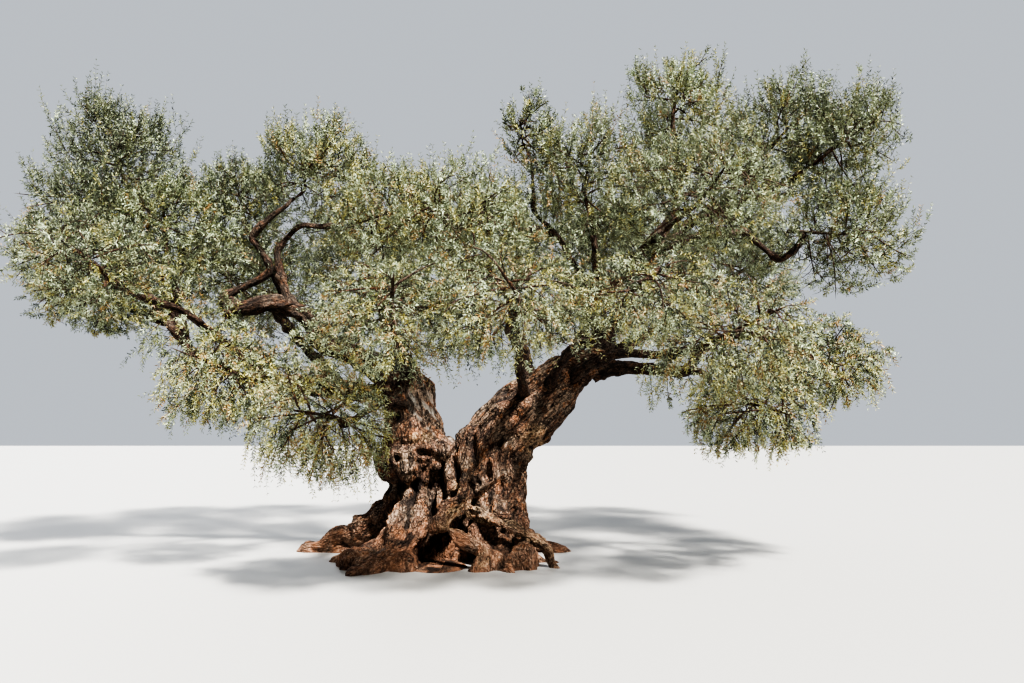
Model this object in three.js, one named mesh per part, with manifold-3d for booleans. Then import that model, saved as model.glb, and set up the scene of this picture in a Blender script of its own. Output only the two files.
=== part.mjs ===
// An ancient olive tree: a short, wide, twisted trunk that forks into two arms, contorted boughs, and a
// low spreading crown of narrow-leaved twigs. Millimetres, +Z up. The origin is the middle of the flat cut
// at ground level, X runs to the right of the tree's front, and Y runs away from it to the back.
import * as THREE from "three";
import { mergeVertices } from "three/addons/utils/BufferGeometryUtils.js";
import Module from "manifold-3d";

const wasm = await Module();
wasm.setup();

// Driving dimensions
const FORK_HEIGHT = 1300;
const ARM_RADIUS = 480;
const GAP = 0.4;
const LEAF_LENGTH = 600;
const LEAF_WIDTH = 210;
const LEAF_THICKNESS = 24;
const TWIG_RADIUS = 14;
const TWIG_FOOT = 45;
const TWIGS_PER_MASS = 8;
const TURN = Math.PI * (3 - Math.sqrt(5));

const BARK = new THREE.MeshStandardMaterial({ color: 0x5b4636, roughness: 0.95, metalness: 0 });
const FOLIAGE = new THREE.MeshStandardMaterial({ color: 0x7c8360, roughness: 0.6, metalness: 0 });

const at = (x, y, z) => new THREE.Vector3(x, y, z);
const mix = THREE.MathUtils.lerp;
const tree = new THREE.Group();

// A repeatable stream of numbers from 0 to 1
function randomFrom(seed) {
  let state = (seed * 2654435761) >>> 0;
  return () => {
    state = (Math.imul(state, 1664525) + 1013904223) >>> 0;
    return state / 4294967296;
  };
}

// The value at a share of the way along a short list of evenly spaced ones
function along(list, share) {
  const place = Math.min(Math.max(share, 0), 1) * (list.length - 1);
  const first = Math.min(Math.floor(place), list.length - 2);
  return mix(list[first], list[first + 1], place - first);
}

// Only the positions of a shape, with each corner kept once
function bare(geometry) {
  geometry.deleteAttribute("normal");
  geometry.deleteAttribute("uv");
  return mergeVertices(geometry, 1e-4);
}

function corners(geometry) {
  const place = geometry.getAttribute("position");
  return Array.from({ length: place.count }, (_, i) => at(place.getX(i), place.getY(i), place.getZ(i)));
}

// A closed cylinder bent along a curve. Each ring has a share of the curve's length, a width and a
// thickness. The width lies across the flat direction. A pointed limb ends in a point, and begins in one
// that lies as far behind its first ring as root says.
function bentLimb(curve, rings, sides, { grow = 0, flat = null, pointed = false, root = 0 } = {}) {
  const steps = rings.length - 1;
  const limb = bare(new THREE.CylinderGeometry(pointed ? 0 : 1, 1, 1, sides, steps));
  const frames = curve.computeFrenetFrames(steps, false);
  const place = limb.getAttribute("position");
  for (let i = 0; i < place.count; i++) {
    const index = Math.round((place.getY(i) + 0.5) * steps);
    const { share, wide, thick } = rings[index];
    const tangent = curve.getTangentAt(share);
    const over = (flat ?? frames.normals[index]).clone();
    over.addScaledVector(tangent, -over.dot(tangent)).normalize();
    const across = tangent.clone().cross(over);
    const rim = Math.hypot(place.getX(i), place.getZ(i)) > 1e-3;
    const turn = Math.atan2(place.getX(i), place.getZ(i));
    const end = index === 0 ? -grow - (rim ? 0 : root) : index === steps ? grow : 0;
    const point = curve
      .getPointAt(share)
      .addScaledVector(tangent, end)
      .addScaledVector(over, rim ? (thick + grow) * Math.cos(turn) : 0)
      .addScaledVector(across, rim ? (wide + grow) * Math.sin(turn) : 0);
    place.setXYZ(i, point.x, point.y, point.z);
  }
  return limb;
}

// Rings of a round limb at even steps
function roundRings(steps, radiusAt) {
  return Array.from({ length: steps + 1 }, (_, i) => {
    const radius = radiusAt(i / steps);
    return { share: i / steps, wide: radius, thick: radius };
  });
}

function solidOf(geometry) {
  return new wasm.Manifold(
    new wasm.Mesh({
      numProp: 3,
      vertProperties: new Float32Array(geometry.getAttribute("position").array),
      triVerts: new Uint32Array(geometry.index.array),
    }),
  );
}

function addNode(name, solid, material) {
  const mesh = solid.getMesh();
  const geometry = new THREE.BufferGeometry();
  geometry.setAttribute("position", new THREE.BufferAttribute(new Float32Array(mesh.vertProperties), 3));
  geometry.setIndex(new THREE.BufferAttribute(new Uint32Array(mesh.triVerts), 1));
  const node = new THREE.Mesh(geometry, material);
  node.name = name;
  tree.add(node);
}

const fused = (solids) => solids.reduce((whole, next) => whole.add(next));
const largest = (solid) => solid.decompose().sort((a, b) => b.volume() - a.volume())[0];

// The two arms of the trunk: a curve up the middle of each, its radii at even steps, and how far its
// sinews turn
const ARMS = {
  left: {
    middle: new THREE.CatmullRomCurve3([
      at(-230, 40, -60),
      at(-370, 0, 700),
      at(-440, 0, FORK_HEIGHT),
      at(-480, 20, 1850),
      at(-660, 30, 2330),
    ]),
    radii: [600, 375, ARM_RADIUS * 0.84, 310, 200],
    twist: 1.0,
  },
  right: {
    middle: new THREE.CatmullRomCurve3([
      at(250, 40, -60),
      at(440, 0, 700),
      at(500, 0, FORK_HEIGHT),
      at(960, 10, 1850),
      at(1500, 0, 2200),
      at(1960, -20, 2390),
    ]),
    radii: [620, ARM_RADIUS, ARM_RADIUS, 430, 320, 190],
    twist: 0.8,
  },
};

// The heart of each arm, inside its sinews, as a share of the arm's radius
const HEARTWOOD = 0.87;

// The wood that joins the arms below the fork
const WAIST = {
  middle: new THREE.LineCurve3(at(10, 40, -60), at(40, 20, FORK_HEIGHT - 20)),
  radii: [720, 480, 400, 260],
};

// Roots: bearing in degrees from the right-hand side, reach, and thickness at the shoulder
const ROOTS = [
  { bearing: 172, reach: 1880, thick: 200 },
  { bearing: 204, reach: 1500, thick: 150 },
  { bearing: 238, reach: 1780, thick: 210 },
  { bearing: 301, reach: 1560, thick: 170 },
  { bearing: 332, reach: 1450, thick: 160 },
  { bearing: 10, reach: 1500, thick: 190 },
  { bearing: 48, reach: 1300, thick: 160 },
  { bearing: 84, reach: 1450, thick: 190 },
  { bearing: 118, reach: 1300, thick: 160 },
  { bearing: 147, reach: 1560, thick: 180 },
];

// A thin root that crosses over the hollow in front, in a knee
const KNEE = {
  middle: new THREE.CatmullRomCurve3([
    at(160, -330, 860),
    at(110, -640, 650),
    at(-40, -930, 430),
    at(190, -1060, 330),
    at(430, -1080, 210),
    at(400, -1220, -60),
  ]),
  radii: [120, 85, 70, 75],
};

// The root beside it, which leaves the trunk high up and arches down to the ground on the right
const ARCH = {
  middle: new THREE.CatmullRomCurve3([
    at(120, -420, 660),
    at(480, -800, 520),
    at(900, -930, 360),
    at(1170, -960, 190),
    at(1230, -980, -60),
  ]),
  radii: [110, 85, 80, 70],
};

// Swellings of the trunk: the burl on the left arm, the shoulder beside it, and the lumps between the
// roots
const SWELLINGS = [
  { middle: at(-440, -90, 1150), size: at(420, 390, 340) },
  { middle: at(-150, -170, 1290), size: at(200, 210, 210) },
  { middle: at(-680, -860, 0), size: at(560, 430, 230) },
  { middle: at(700, -830, 0), size: at(360, 380, 290) },
];

// The torn spike that stands on the left arm, and the hollow under the front of the trunk
const SPIKE = {
  middle: new THREE.LineCurve3(at(-620, -60, 1950), at(-780, -130, 2500)),
  radii: [150, 12],
};
const HOLLOW = { middle: at(-80, -1010, 190), size: at(330, 420, 240) };

// A point inside an arm, at a share of its height, towards a bearing and part of the way out to its skin
function armPoint(arm, share, bearing, depth) {
  const tangent = arm.middle.getTangentAt(share);
  const sideways = at(Math.cos(bearing), Math.sin(bearing), 0);
  sideways.addScaledVector(tangent, -sideways.dot(tangent)).normalize();
  return arm.middle.getPointAt(share).addScaledVector(sideways, along(arm.radii, share) * depth);
}

// A root climbs from the ground and runs on up its arm as a sinew, turning as it goes, until it sinks in
function sinew(root) {
  const bearing = THREE.MathUtils.degToRad(root.bearing);
  const arm = Math.cos(bearing) < 0 ? ARMS.left : ARMS.right;
  const out = (share, height) =>
    at(Math.cos(bearing), Math.sin(bearing), 0).multiplyScalar(root.reach * share).setZ(height);
  const climb = [0.3, 0.45, 0.6, 0.75, 0.9].map((share) =>
    armPoint(arm, share, bearing + arm.twist * share, share < 0.9 ? 0.62 : 0.3),
  );
  const rib = along(arm.radii, 0.6) * 0.48;
  return {
    middle: new THREE.CatmullRomCurve3([out(1, -70), out(0.78, 40), out(0.56, 210), ...climb]),
    radii: [root.thick * 0.45, root.thick * 0.8, root.thick * 1.15, root.thick * 1.2, rib, rib * 0.6],
  };
}

const limbOf = ({ middle, radii }, sides, steps, grow) =>
  solidOf(bentLimb(middle, roundRings(steps, (share) => along(radii, share)), sides, { grow }));

function ball({ middle, size }, grow) {
  const shape = bare(new THREE.IcosahedronGeometry(1, 1));
  shape.scale(size.x + grow, size.y + grow, size.z + grow);
  return solidOf(shape.translate(middle.x, middle.y, middle.z));
}

// The trunk is its arms, waist, sinews and swellings in one, hollowed in front and cut flat at the ground
function trunkSolid(grow) {
  const pieces = [
    ...Object.values(ARMS).map(({ middle, radii }) =>
      limbOf({ middle, radii: radii.map((radius) => radius * HEARTWOOD) }, 10, 7, grow),
    ),
    limbOf(WAIST, 8, 3, grow),
    ...ROOTS.map((root) => limbOf(sinew(root), 6, 8, grow)),
    limbOf(KNEE, 5, 7, grow),
    limbOf(ARCH, 5, 6, grow),
    limbOf(SPIKE, 6, 2, grow),
    ...SWELLINGS.map((swelling) => ball(swelling, grow)),
  ];
  const below = solidOf(bare(new THREE.BoxGeometry(6000, 6000, 2000)).translate(0, 0, -1000));
  return largest(fused(pieces).subtract(ball(HOLLOW, -grow)).subtract(below));
}

// Masses of foliage: the middle and the half sizes of the space that each one fills
const MASSES = {
  left_crest: { middle: at(-4600, 500, 5180), size: at(900, 1200, 850) },
  left_tip: { middle: at(-4660, -300, 4080), size: at(780, 1050, 800) },
  left_front: { middle: at(-3650, -1950, 3250), size: at(900, 1050, 620) },
  left_heart: { middle: at(-3900, 300, 4150), size: at(850, 1100, 780) },
  left_sweep: { middle: at(-4620, 200, 3200), size: at(1000, 1050, 520) },
  left_saddle: { middle: at(-3300, 1300, 4800), size: at(800, 1000, 700) },
  left_peak: { middle: at(-1880, 450, 5000), size: at(900, 1150, 740) },
  left_shoulder: { middle: at(-830, 50, 4220), size: at(850, 1100, 780) },
  left_skirt_outer: { middle: at(-2440, -1050, 2150), size: at(850, 900, 650) },
  left_skirt: { middle: at(-1170, -2000, 1580), size: at(830, 900, 680) },
  front_left: { middle: at(-380, -2650, 2600), size: at(930, 1050, 660) },
  front_centre: { middle: at(700, -2850, 2650), size: at(860, 1000, 620) },
  centre_crown: { middle: at(220, -800, 3960), size: at(950, 1200, 760) },
  tall_tuft: { middle: at(1000, 100, 5410), size: at(430, 520, 640) },
  centre_high: { middle: at(1800, 50, 4700), size: at(880, 1150, 930) },
  summit: { middle: at(3060, 300, 5720), size: at(760, 950, 960) },
  right_inner: { middle: at(2850, -1350, 4120), size: at(1150, 1050, 720) },
  right_crest: { middle: at(4430, 500, 5460), size: at(900, 1150, 880) },
  right_end: { middle: at(5150, 150, 5180), size: at(800, 1050, 850) },
  far_right: { middle: at(4980, -300, 3880), size: at(840, 1000, 800) },
  front_right: { middle: at(1950, -2900, 2750), size: at(700, 900, 450) },
  right_front: { middle: at(3000, -2250, 2450), size: at(900, 1000, 660) },
  right_skirt: { middle: at(3380, -1200, 1700), size: at(820, 850, 520) },
  right_skirt_outer: { middle: at(4400, -600, 2300), size: at(820, 950, 650) },
  back_left: { middle: at(-3700, 2700, 3900), size: at(1250, 1300, 840) },
  back_mid_left: { middle: at(-1750, 2950, 4300), size: at(1200, 1400, 940) },
  back_mid_right: { middle: at(2350, 2950, 4400), size: at(1250, 1400, 960) },
  back_centre: { middle: at(300, 3000, 4500), size: at(1200, 1450, 960) },
  back_right: { middle: at(4350, 2500, 4000), size: at(1250, 1300, 860) },
};

// Boughs, from the trunk outwards, with the radius of each at its foot and its tip. A bough carries the
// mass of its own name, and one that has no mass ends in a sawn stub. Those that show have the points that
// they pass. The others spring from another limb, at a share of its length, and arch over to their mass.
const BOUGHS = {
  left_main: {
    via: [
      at(-640, 20, 2150),
      at(-1120, 0, 2420),
      at(-1640, 0, 2640),
      at(-1900, 0, 3000),
      at(-2330, 0, 3140),
      at(-2900, 0, 3020),
    ],
    radii: [175, 95],
  },
  left_peak: {
    via: [
      at(-2760, 0, 3060),
      at(-2940, 20, 3200),
      at(-2360, 0, 3560),
      at(-2600, 0, 4000),
      at(-2170, 30, 4440),
    ],
    radii: [76, 28],
  },
  left_shoulder: {
    via: [at(-2080, 0, 3080), at(-2240, 80, 3500), at(-2300, 110, 3840), at(-2010, 120, 4190)],
    radii: [70, 27],
  },
  left_sweep: {
    via: [
      at(-560, 100, 1960),
      at(-1900, 380, 2080),
      at(-2950, 350, 2260),
      at(-3470, 300, 2560),
      at(-3640, 280, 2900),
    ],
    radii: [150, 50],
  },
  summit: {
    via: [
      at(1760, 0, 2300),
      at(1930, 0, 2660),
      at(1800, 0, 3180),
      at(2180, 0, 3520),
      at(2620, 0, 3820),
      at(2900, 120, 4400),
    ],
    radii: [165, 50],
  },
  far_right: {
    via: [
      at(2500, 0, 3740),
      at(3160, -50, 4010),
      at(3760, -50, 4050),
      at(4200, -50, 3700),
      at(4520, -80, 4020),
    ],
    radii: [62, 34],
  },
  right_skirt_outer: {
    via: [
      at(1800, -60, 2300),
      at(2280, -350, 2290),
      at(2880, -450, 2260),
      at(3350, -480, 2660),
      at(3800, -480, 2700),
    ],
    radii: [110, 36],
  },
  tall_tuft: {
    via: [at(1800, 0, 3140), at(1650, 0, 3520), at(1380, 0, 3980), at(1060, 30, 4340)],
    radii: [45, 20],
  },
  left_saddle: { from: "left_main", share: 0.68, arch: 60, radii: [70, 36] },
  left_heart: { from: "left_sweep", share: 0.83, arch: 30, radii: [62, 42] },
  left_crest: { from: "left_sweep", share: 0.86, arch: -60, radii: [62, 38] },
  left_tip: { from: "left_sweep", share: 0.78, arch: 40, radii: [58, 36] },
  left_front: { from: "left_sweep", share: 0.48, arch: 120, radii: [70, 38] },
  left_skirt_outer: { from: "left_sweep", share: 0.2, arch: 90, radii: [70, 40] },
  left_skirt: { from: "left_arm", share: 0.76, arch: 160, radii: [85, 40] },
  front_left: { from: "left_arm", share: 0.9, arch: 120, radii: [95, 45] },
  back_left: { from: "left_sweep", share: 0.24, arch: 80, radii: [95, 50] },
  back_mid_left: { from: "left_arm", share: 0.93, arch: 60, radii: [105, 50] },
  centre_crown: { from: "tall_tuft", share: 0.5, arch: 40, radii: [32, 22] },
  centre_high: { from: "summit", share: 0.22, arch: -60, radii: [62, 36] },
  right_inner: { from: "summit", share: 0.44, arch: 40, radii: [66, 40] },
  right_crest: { from: "summit", share: 0.6, arch: -60, radii: [64, 40] },
  right_end: { from: "right_crest", share: 0.4, arch: -50, radii: [50, 36] },
  right_skirt: { from: "right_skirt_outer", share: 0.48, arch: 90, radii: [50, 32] },
  right_front: { from: "right_arm", share: 0.8, arch: 160, radii: [95, 42] },
  front_right: { from: "right_arm", share: 0.72, arch: 150, radii: [80, 38] },
  front_centre: { from: "right_arm", share: 0.64, arch: 160, radii: [90, 42] },
  back_centre: { from: "right_arm", share: 0.7, arch: 60, radii: [110, 50] },
  back_mid_right: { from: "right_arm", share: 0.84, arch: 40, radii: [110, 50] },
  back_right: { from: "right_arm", share: 0.92, arch: -40, radii: [98, 48] },
};

// How far out from the middle of its mass a bough ends, as a share of the way to the mass's skin
const ENTRY_SHARE = 0.72;

// The points of a bough, the last one where it enters its mass
function boughRoute(name, { via, from, share, arch }, curves) {
  const mass = MASSES[name];
  if (!mass) return via;
  const route = via ?? [curves[from].getPointAt(share)];
  const offset = route[route.length - 1].clone().sub(mass.middle);
  const distance = offset.clone().divide(mass.size).length();
  const tip = mass.middle.clone().addScaledVector(offset, ENTRY_SHARE / distance);
  return via ? [...via, tip] : [route[0], route[0].clone().lerp(tip, 0.5).add(at(0, 0, arch)), tip];
}

// Olive limbs are never straight, so each one wanders a little sideways between its points
const WANDER = 0.16;

function wandering(route, seed) {
  const random = randomFrom(seed);
  const bent = [];
  route.forEach((point, i) => {
    bent.push(point);
    const next = route[i + 1];
    if (!next || i === 0) return;
    const kink = at(random() - 0.5, random() - 0.5, random() - 0.5);
    bent.push(point.clone().lerp(next, 0.5).addScaledVector(kink, next.distanceTo(point) * WANDER));
  });
  return new THREE.CatmullRomCurve3(bent, false, "centripetal");
}

const curves = { left_arm: ARMS.left.middle, right_arm: ARMS.right.middle };
const limbs = Object.entries(BOUGHS).map(([name, bough], index) => {
  curves[name] = wandering(boughRoute(name, bough, curves), index + 7);
  return { name, index, curve: curves[name], radii: bough.radii };
});

const BOUGH_SIDES = 5;
const BOUGH_STEP = 360;

function boughSolid({ index, curve, radii }, grow) {
  const steps = Math.max(5, Math.round(curve.getLength() / BOUGH_STEP));
  const swell = (share) => 1 + 0.1 * Math.sin(share * 17 + index);
  const rings = roundRings(steps, (share) => mix(...radii, share ** 0.8) * swell(share));
  return solidOf(bentLimb(curve, rings, BOUGH_SIDES, { grow }));
}

// Trunk and boughs, each cut clear of those made before it
addNode("trunk", trunkSolid(0), BARK);
let taken = trunkSolid(GAP);
for (const limb of limbs) {
  addNode(`${limb.name}_bough`, largest(boughSolid(limb, 0).subtract(taken)), BARK);
  taken = taken.add(boughSolid(limb, GAP));
}

// Points along the middle of every limb, with its radius there, to keep twigs and leaves off the wood
const KNOT_SPACING = 120;
const knots = [];
function addKnots(curve, radiusAt) {
  const count = Math.ceil(curve.getLength() / KNOT_SPACING);
  for (let i = 0; i <= count; i++) {
    const share = i / count;
    knots.push({ point: curve.getPointAt(share), radius: radiusAt(share) });
  }
}
for (const { curve, radii } of limbs) addKnots(curve, (share) => mix(...radii, share));
for (const arm of Object.values(ARMS)) addKnots(arm.middle, (share) => along(arm.radii, share) * 1.3);

const meanSize = ({ size }) => (size.x + size.y + size.z) / 3;

// True where a point lies in a mass's own space: inside its skin, and on its own side of the plane that
// parts it from each of the others
const SPACE_MARGIN = 12;

function inSpace(mass, point) {
  if (point.clone().sub(mass.middle).divide(mass.size).length() > 1) return false;
  const power = (other) => point.distanceToSquared(other.middle) - meanSize(other) ** 2;
  return Object.values(MASSES).every((other) => {
    const apart = other.middle.distanceTo(mass.middle);
    return other === mass || power(other) - power(mass) > 2 * SPACE_MARGIN * apart;
  });
}

// Adds a twig or a leaf to a mass if all its corners keep to the mass's space and it stays off every limb.
// A piece that doesn't fit is tried again shorter.
const SHORTER = [1, 0.92, 0.84, 0.76, 0.68, 0.6, 0.52];
const LIMB_CLEARANCE = 60;

function tryPiece(growth, length, thickness, makePiece) {
  for (const share of SHORTER) {
    const piece = makePiece(length * share);
    const line = new THREE.Line3(piece.root, piece.tip);
    const near = at(0, 0, 0);
    const clear = growth.near.every(({ point, radius }) => {
      const distance = line.closestPointToPoint(point, true, near).distanceTo(point);
      return distance > radius + thickness + LIMB_CLEARANCE;
    });
    if (!clear || !corners(piece.shape).every((corner) => inSpace(growth.mass, corner))) continue;
    growth.pieces.push(solidOf(piece.shape));
    return piece;
  }
  return null;
}

// A leaf is a three-sided blade, so its half sizes are to its ridge and to its two edges
const RIDGE = LEAF_THICKNESS / 1.5;
const EDGE = LEAF_WIDTH / Math.sqrt(3);

// The rings of a twig whose last part, a share of its length, widens into a leaf
function leafyRings(firstShare, leafShare) {
  const stalk = TWIG_RADIUS * 0.6;
  return [
    { share: firstShare, wide: TWIG_RADIUS, thick: TWIG_RADIUS },
    { share: 1 - leafShare, wide: stalk, thick: stalk },
    { share: 1 - leafShare * 0.55, wide: EDGE, thick: RIDGE },
    { share: 1 },
  ];
}

// A point on the straight lines between the rings of a bent limb
function chordPoint(curve, rings, share) {
  const next = Math.max(1, rings.findIndex((ring) => ring.share >= share));
  const [low, high] = [rings[next - 1].share, rings[next].share];
  return curve.getPointAt(low).lerp(curve.getPointAt(high), (share - low) / (high - low));
}

// How far a straight line can run in a mass's space before it meets the skin
function reachIn(mass, from, towards) {
  let share = 1;
  while (share > 0.2 && !inSpace(mass, from.clone().lerp(towards, share))) share -= 0.02;
  return from.clone().lerp(towards, share);
}

// Growth rule. A stem runs on from the bough to the far side of its mass. Twigs leave it all the way up,
// each turned by the golden angle from the last, and run to the skin of the space. The stem and every twig
// end in a leaf, and each twig has one more leaf at its side.
function massSolid({ name, index, curve, radii }) {
  const mass = MASSES[name];
  const random = randomFrom(index * 31 + 5);
  const jitter = (amount) => (random() - 0.5) * 2 * amount;
  const tip = curve.getPointAt(1);
  const heading = curve.getTangentAt(1);
  const reach = meanSize(mass);
  const near = knots.filter(({ point }) => point.distanceTo(mass.middle) < reach * 2.2);
  const growth = { mass, near, pieces: [] };

  const start = tip.clone().addScaledVector(heading, GAP);
  const middle = mass.middle.clone().lerp(start, 0.2).add(at(jitter(60), jitter(60), 60));
  const axis = mass.middle.clone().sub(start).normalize().add(at(0, 0, 0.35)).normalize();
  const crown = mass.middle.clone().add(axis.clone().multiply(mass.size));
  const stem = new THREE.CatmullRomCurve3([
    start,
    start.clone().addScaledVector(heading, reach * 0.22),
    middle,
    reachIn(mass, middle, crown).lerp(middle, 0.06),
  ]);
  const sideways = axis.clone().cross(at(0.1, 0.2, 1)).normalize();
  const upward = sideways.clone().cross(axis);
  const leafShare = (LEAF_LENGTH * 0.8) / stem.getLength();
  const foot = radii[1] * 0.9;
  const stemRings = [
    { share: 0, wide: foot, thick: foot },
    { share: 0.3, wide: foot * 0.7, thick: foot * 0.7 },
    { share: 1 - leafShare, wide: TWIG_RADIUS, thick: TWIG_RADIUS },
    { share: 1 - leafShare * 0.55, wide: LEAF_WIDTH / 2, thick: LEAF_THICKNESS / 2 },
    { share: 1 },
  ];
  growth.pieces.push(solidOf(bentLimb(stem, stemRings, 4, { flat: at(0.3, 1, 0.2), pointed: true })));

  for (let k = 0; k < TWIGS_PER_MASS; k++) {
    const order = (k + 0.5) / TWIGS_PER_MASS;
    const from = chordPoint(stem, stemRings, mix(1 - leafShare, 0.26, order));
    const lift = mix(0.9, -0.85, order);
    const ring = Math.sqrt(1 - lift * lift);
    const turn = k * TURN + index;
    const aim = axis
      .clone()
      .multiplyScalar(lift)
      .addScaledVector(sideways, ring * Math.cos(turn))
      .addScaledVector(upward, ring * Math.sin(turn))
      .multiply(mass.size);
    const end = reachIn(mass, from, mass.middle.clone().add(aim));
    const run = end.distanceTo(from);
    if (run < LEAF_LENGTH * 0.7) continue;
    const leafSize = Math.min(LEAF_LENGTH * mix(0.85, 1.15, random()), run * 0.7);
    const bow = at(jitter(50), jitter(50), 40 + jitter(20));
    const flat = at(jitter(1), jitter(1), jitter(1));
    const twig = tryPiece(growth, run, TWIG_RADIUS, (length) => {
      const way = end.clone().lerp(from, 1 - length / run);
      const path = new THREE.QuadraticBezierCurve3(from, from.clone().lerp(way, 0.5).add(bow), way);
      const rings = leafyRings(TWIG_FOOT / length, leafSize / length);
      const shape = bentLimb(path, rings, 3, { flat, pointed: true, root: TWIG_FOOT });
      return { root: from, tip: way, path, rings, shape };
    });
    if (!twig) continue;

    const share = mix(0.55, 0.9, random()) * twig.rings[1].share;
    const root = chordPoint(twig.path, twig.rings, share);
    const out = twig.path.getTangentAt(share);
    const side = out.clone().cross(at(jitter(1), jitter(1), jitter(1))).normalize();
    const way = out.multiplyScalar(0.7).add(side).normalize();
    tryPiece(growth, LEAF_LENGTH, LEAF_WIDTH / 2, (length) => {
      const point = root.clone().addScaledVector(way, length);
      const rings = [{ share: 0.45, wide: EDGE, thick: RIDGE }, { share: 1 }];
      const path = new THREE.LineCurve3(root, point);
      const shape = bentLimb(path, rings, 3, { flat, pointed: true, root: length * 0.45 });
      return { root, tip: point, shape };
    });
  }
  return largest(fused(growth.pieces));
}

for (const limb of limbs)
  if (MASSES[limb.name]) addNode(`${limb.name}_foliage`, massSolid(limb), FOLIAGE);

export default tree;
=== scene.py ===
"""An ancient olive tree: a short twisted trunk that forks into two arms, contorted boughs and a low crown."""

import bmesh
import bpy
import numpy as np
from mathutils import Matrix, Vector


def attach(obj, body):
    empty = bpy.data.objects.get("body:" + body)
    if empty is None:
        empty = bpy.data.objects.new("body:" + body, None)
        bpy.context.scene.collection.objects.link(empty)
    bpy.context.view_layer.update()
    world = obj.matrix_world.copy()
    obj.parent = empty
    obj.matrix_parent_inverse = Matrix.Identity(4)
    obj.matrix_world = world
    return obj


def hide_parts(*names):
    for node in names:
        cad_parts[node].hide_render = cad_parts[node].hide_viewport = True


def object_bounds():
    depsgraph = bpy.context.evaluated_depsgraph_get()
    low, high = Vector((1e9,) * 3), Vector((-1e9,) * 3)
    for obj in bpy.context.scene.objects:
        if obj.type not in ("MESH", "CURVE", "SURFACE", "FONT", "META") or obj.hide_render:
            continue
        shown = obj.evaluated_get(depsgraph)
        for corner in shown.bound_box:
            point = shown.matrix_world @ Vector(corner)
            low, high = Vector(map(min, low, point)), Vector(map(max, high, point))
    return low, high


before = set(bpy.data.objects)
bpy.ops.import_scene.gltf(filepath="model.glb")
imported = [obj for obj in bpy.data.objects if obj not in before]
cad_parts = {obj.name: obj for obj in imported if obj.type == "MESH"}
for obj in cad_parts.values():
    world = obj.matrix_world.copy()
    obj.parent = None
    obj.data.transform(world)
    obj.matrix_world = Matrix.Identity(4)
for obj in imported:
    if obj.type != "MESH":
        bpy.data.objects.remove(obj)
cad_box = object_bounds()

# Trunk
# One short, wide bole of very old olive wood that forks low into two arms. Each root feeds a sinew of its
# own, which climbs and twists round the arm until it sinks in, and burls have grown over the old wounds.
FORK_HEIGHT = 1.3
ARM_RADIUS = 0.48
HEARTWOOD = 0.87
ARMS = {  # places up the middle, radii at even shares of the length, and how far the fibres turn, in radians
    "left": {
        "middle": [
            (-0.23, 0.04, -0.06),
            (-0.37, 0, 0.7),
            (-0.44, 0, FORK_HEIGHT),
            (-0.48, 0.02, 1.85),
            (-0.66, 0.03, 2.33),
        ],
        "radii": [0.6, 0.375, ARM_RADIUS * 0.84, 0.31, 0.2],
        "twist": 1.0,
    },
    "right": {
        "middle": [
            (0.25, 0.04, -0.06),
            (0.44, 0, 0.7),
            (0.5, 0, FORK_HEIGHT),
            (0.96, 0.01, 1.85),
            (1.5, 0, 2.2),
            (1.96, -0.02, 2.39),
        ],
        "radii": [0.62, ARM_RADIUS, ARM_RADIUS, 0.43, 0.32, 0.19],
        "twist": 0.8,
    },
}
WAIST = {  # the wood between the arms, up to the fork
    "middle": [(0.01, 0.04, -0.06), (0.025, 0.03, 0.6), (0.04, 0.02, FORK_HEIGHT - 0.02)],
    "radii": [0.72, 0.48, 0.4, 0.26],
}
ROOTS = [  # bearing in degrees from the right-hand side, reach, and thickness at the shoulder
    (172, 1.88, 0.2),
    (204, 1.5, 0.15),
    (238, 1.78, 0.21),
    (301, 1.56, 0.17),
    (332, 1.45, 0.16),
    (10, 1.5, 0.19),
    (48, 1.3, 0.16),
    (84, 1.45, 0.19),
    (118, 1.3, 0.16),
    (147, 1.56, 0.18),
]
KNEE = {  # a root that bends over the hollow and back, its bark mostly worn off
    "middle": [
        (0.16, -0.33, 0.86),
        (0.11, -0.64, 0.65),
        (-0.04, -0.93, 0.43),
        (0.19, -1.06, 0.33),
        (0.43, -1.08, 0.21),
        (0.4, -1.22, -0.06),
    ],
    "radii": [0.12, 0.085, 0.07, 0.075],
    "bare": 0.75,
}
ARCH = {  # a root that stands clear of the foot as an arch
    "middle": [
        (0.12, -0.42, 0.66),
        (0.48, -0.8, 0.52),
        (0.9, -0.93, 0.36),
        (1.17, -0.96, 0.19),
        (1.23, -0.98, -0.06),
    ],
    "radii": [0.11, 0.085, 0.08, 0.07],
    "bare": 0.5,
}
# The splintered tip that stands beside the left arm
SPIKE = {"middle": [(-0.62, -0.06, 1.95), (-0.7, -0.095, 2.225), (-0.78, -0.13, 2.5)], "radii": [0.15, 0.012]}
SWELLINGS = [  # middle and half sizes: the burl, the knob beside it, and the lumps between the roots
    ((-0.48, -0.12, 1.15), (0.42, 0.41, 0.28)),
    ((-0.15, -0.17, 1.29), (0.2, 0.21, 0.21)),
    ((-0.68, -0.86, 0), (0.56, 0.43, 0.23)),
    ((0.7, -0.83, 0), (0.36, 0.38, 0.29)),
]
# The hollow between the roots, and the rotted wood that lies in it
HOLLOW = ((-0.08, -1.01, 0.19), (0.33, 0.42, 0.24))
HOLLOW_FLOOR = ((-0.08, -0.94, 0), (0.34, 0.4, 0.035))

STEPS_BETWEEN = 40


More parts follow.
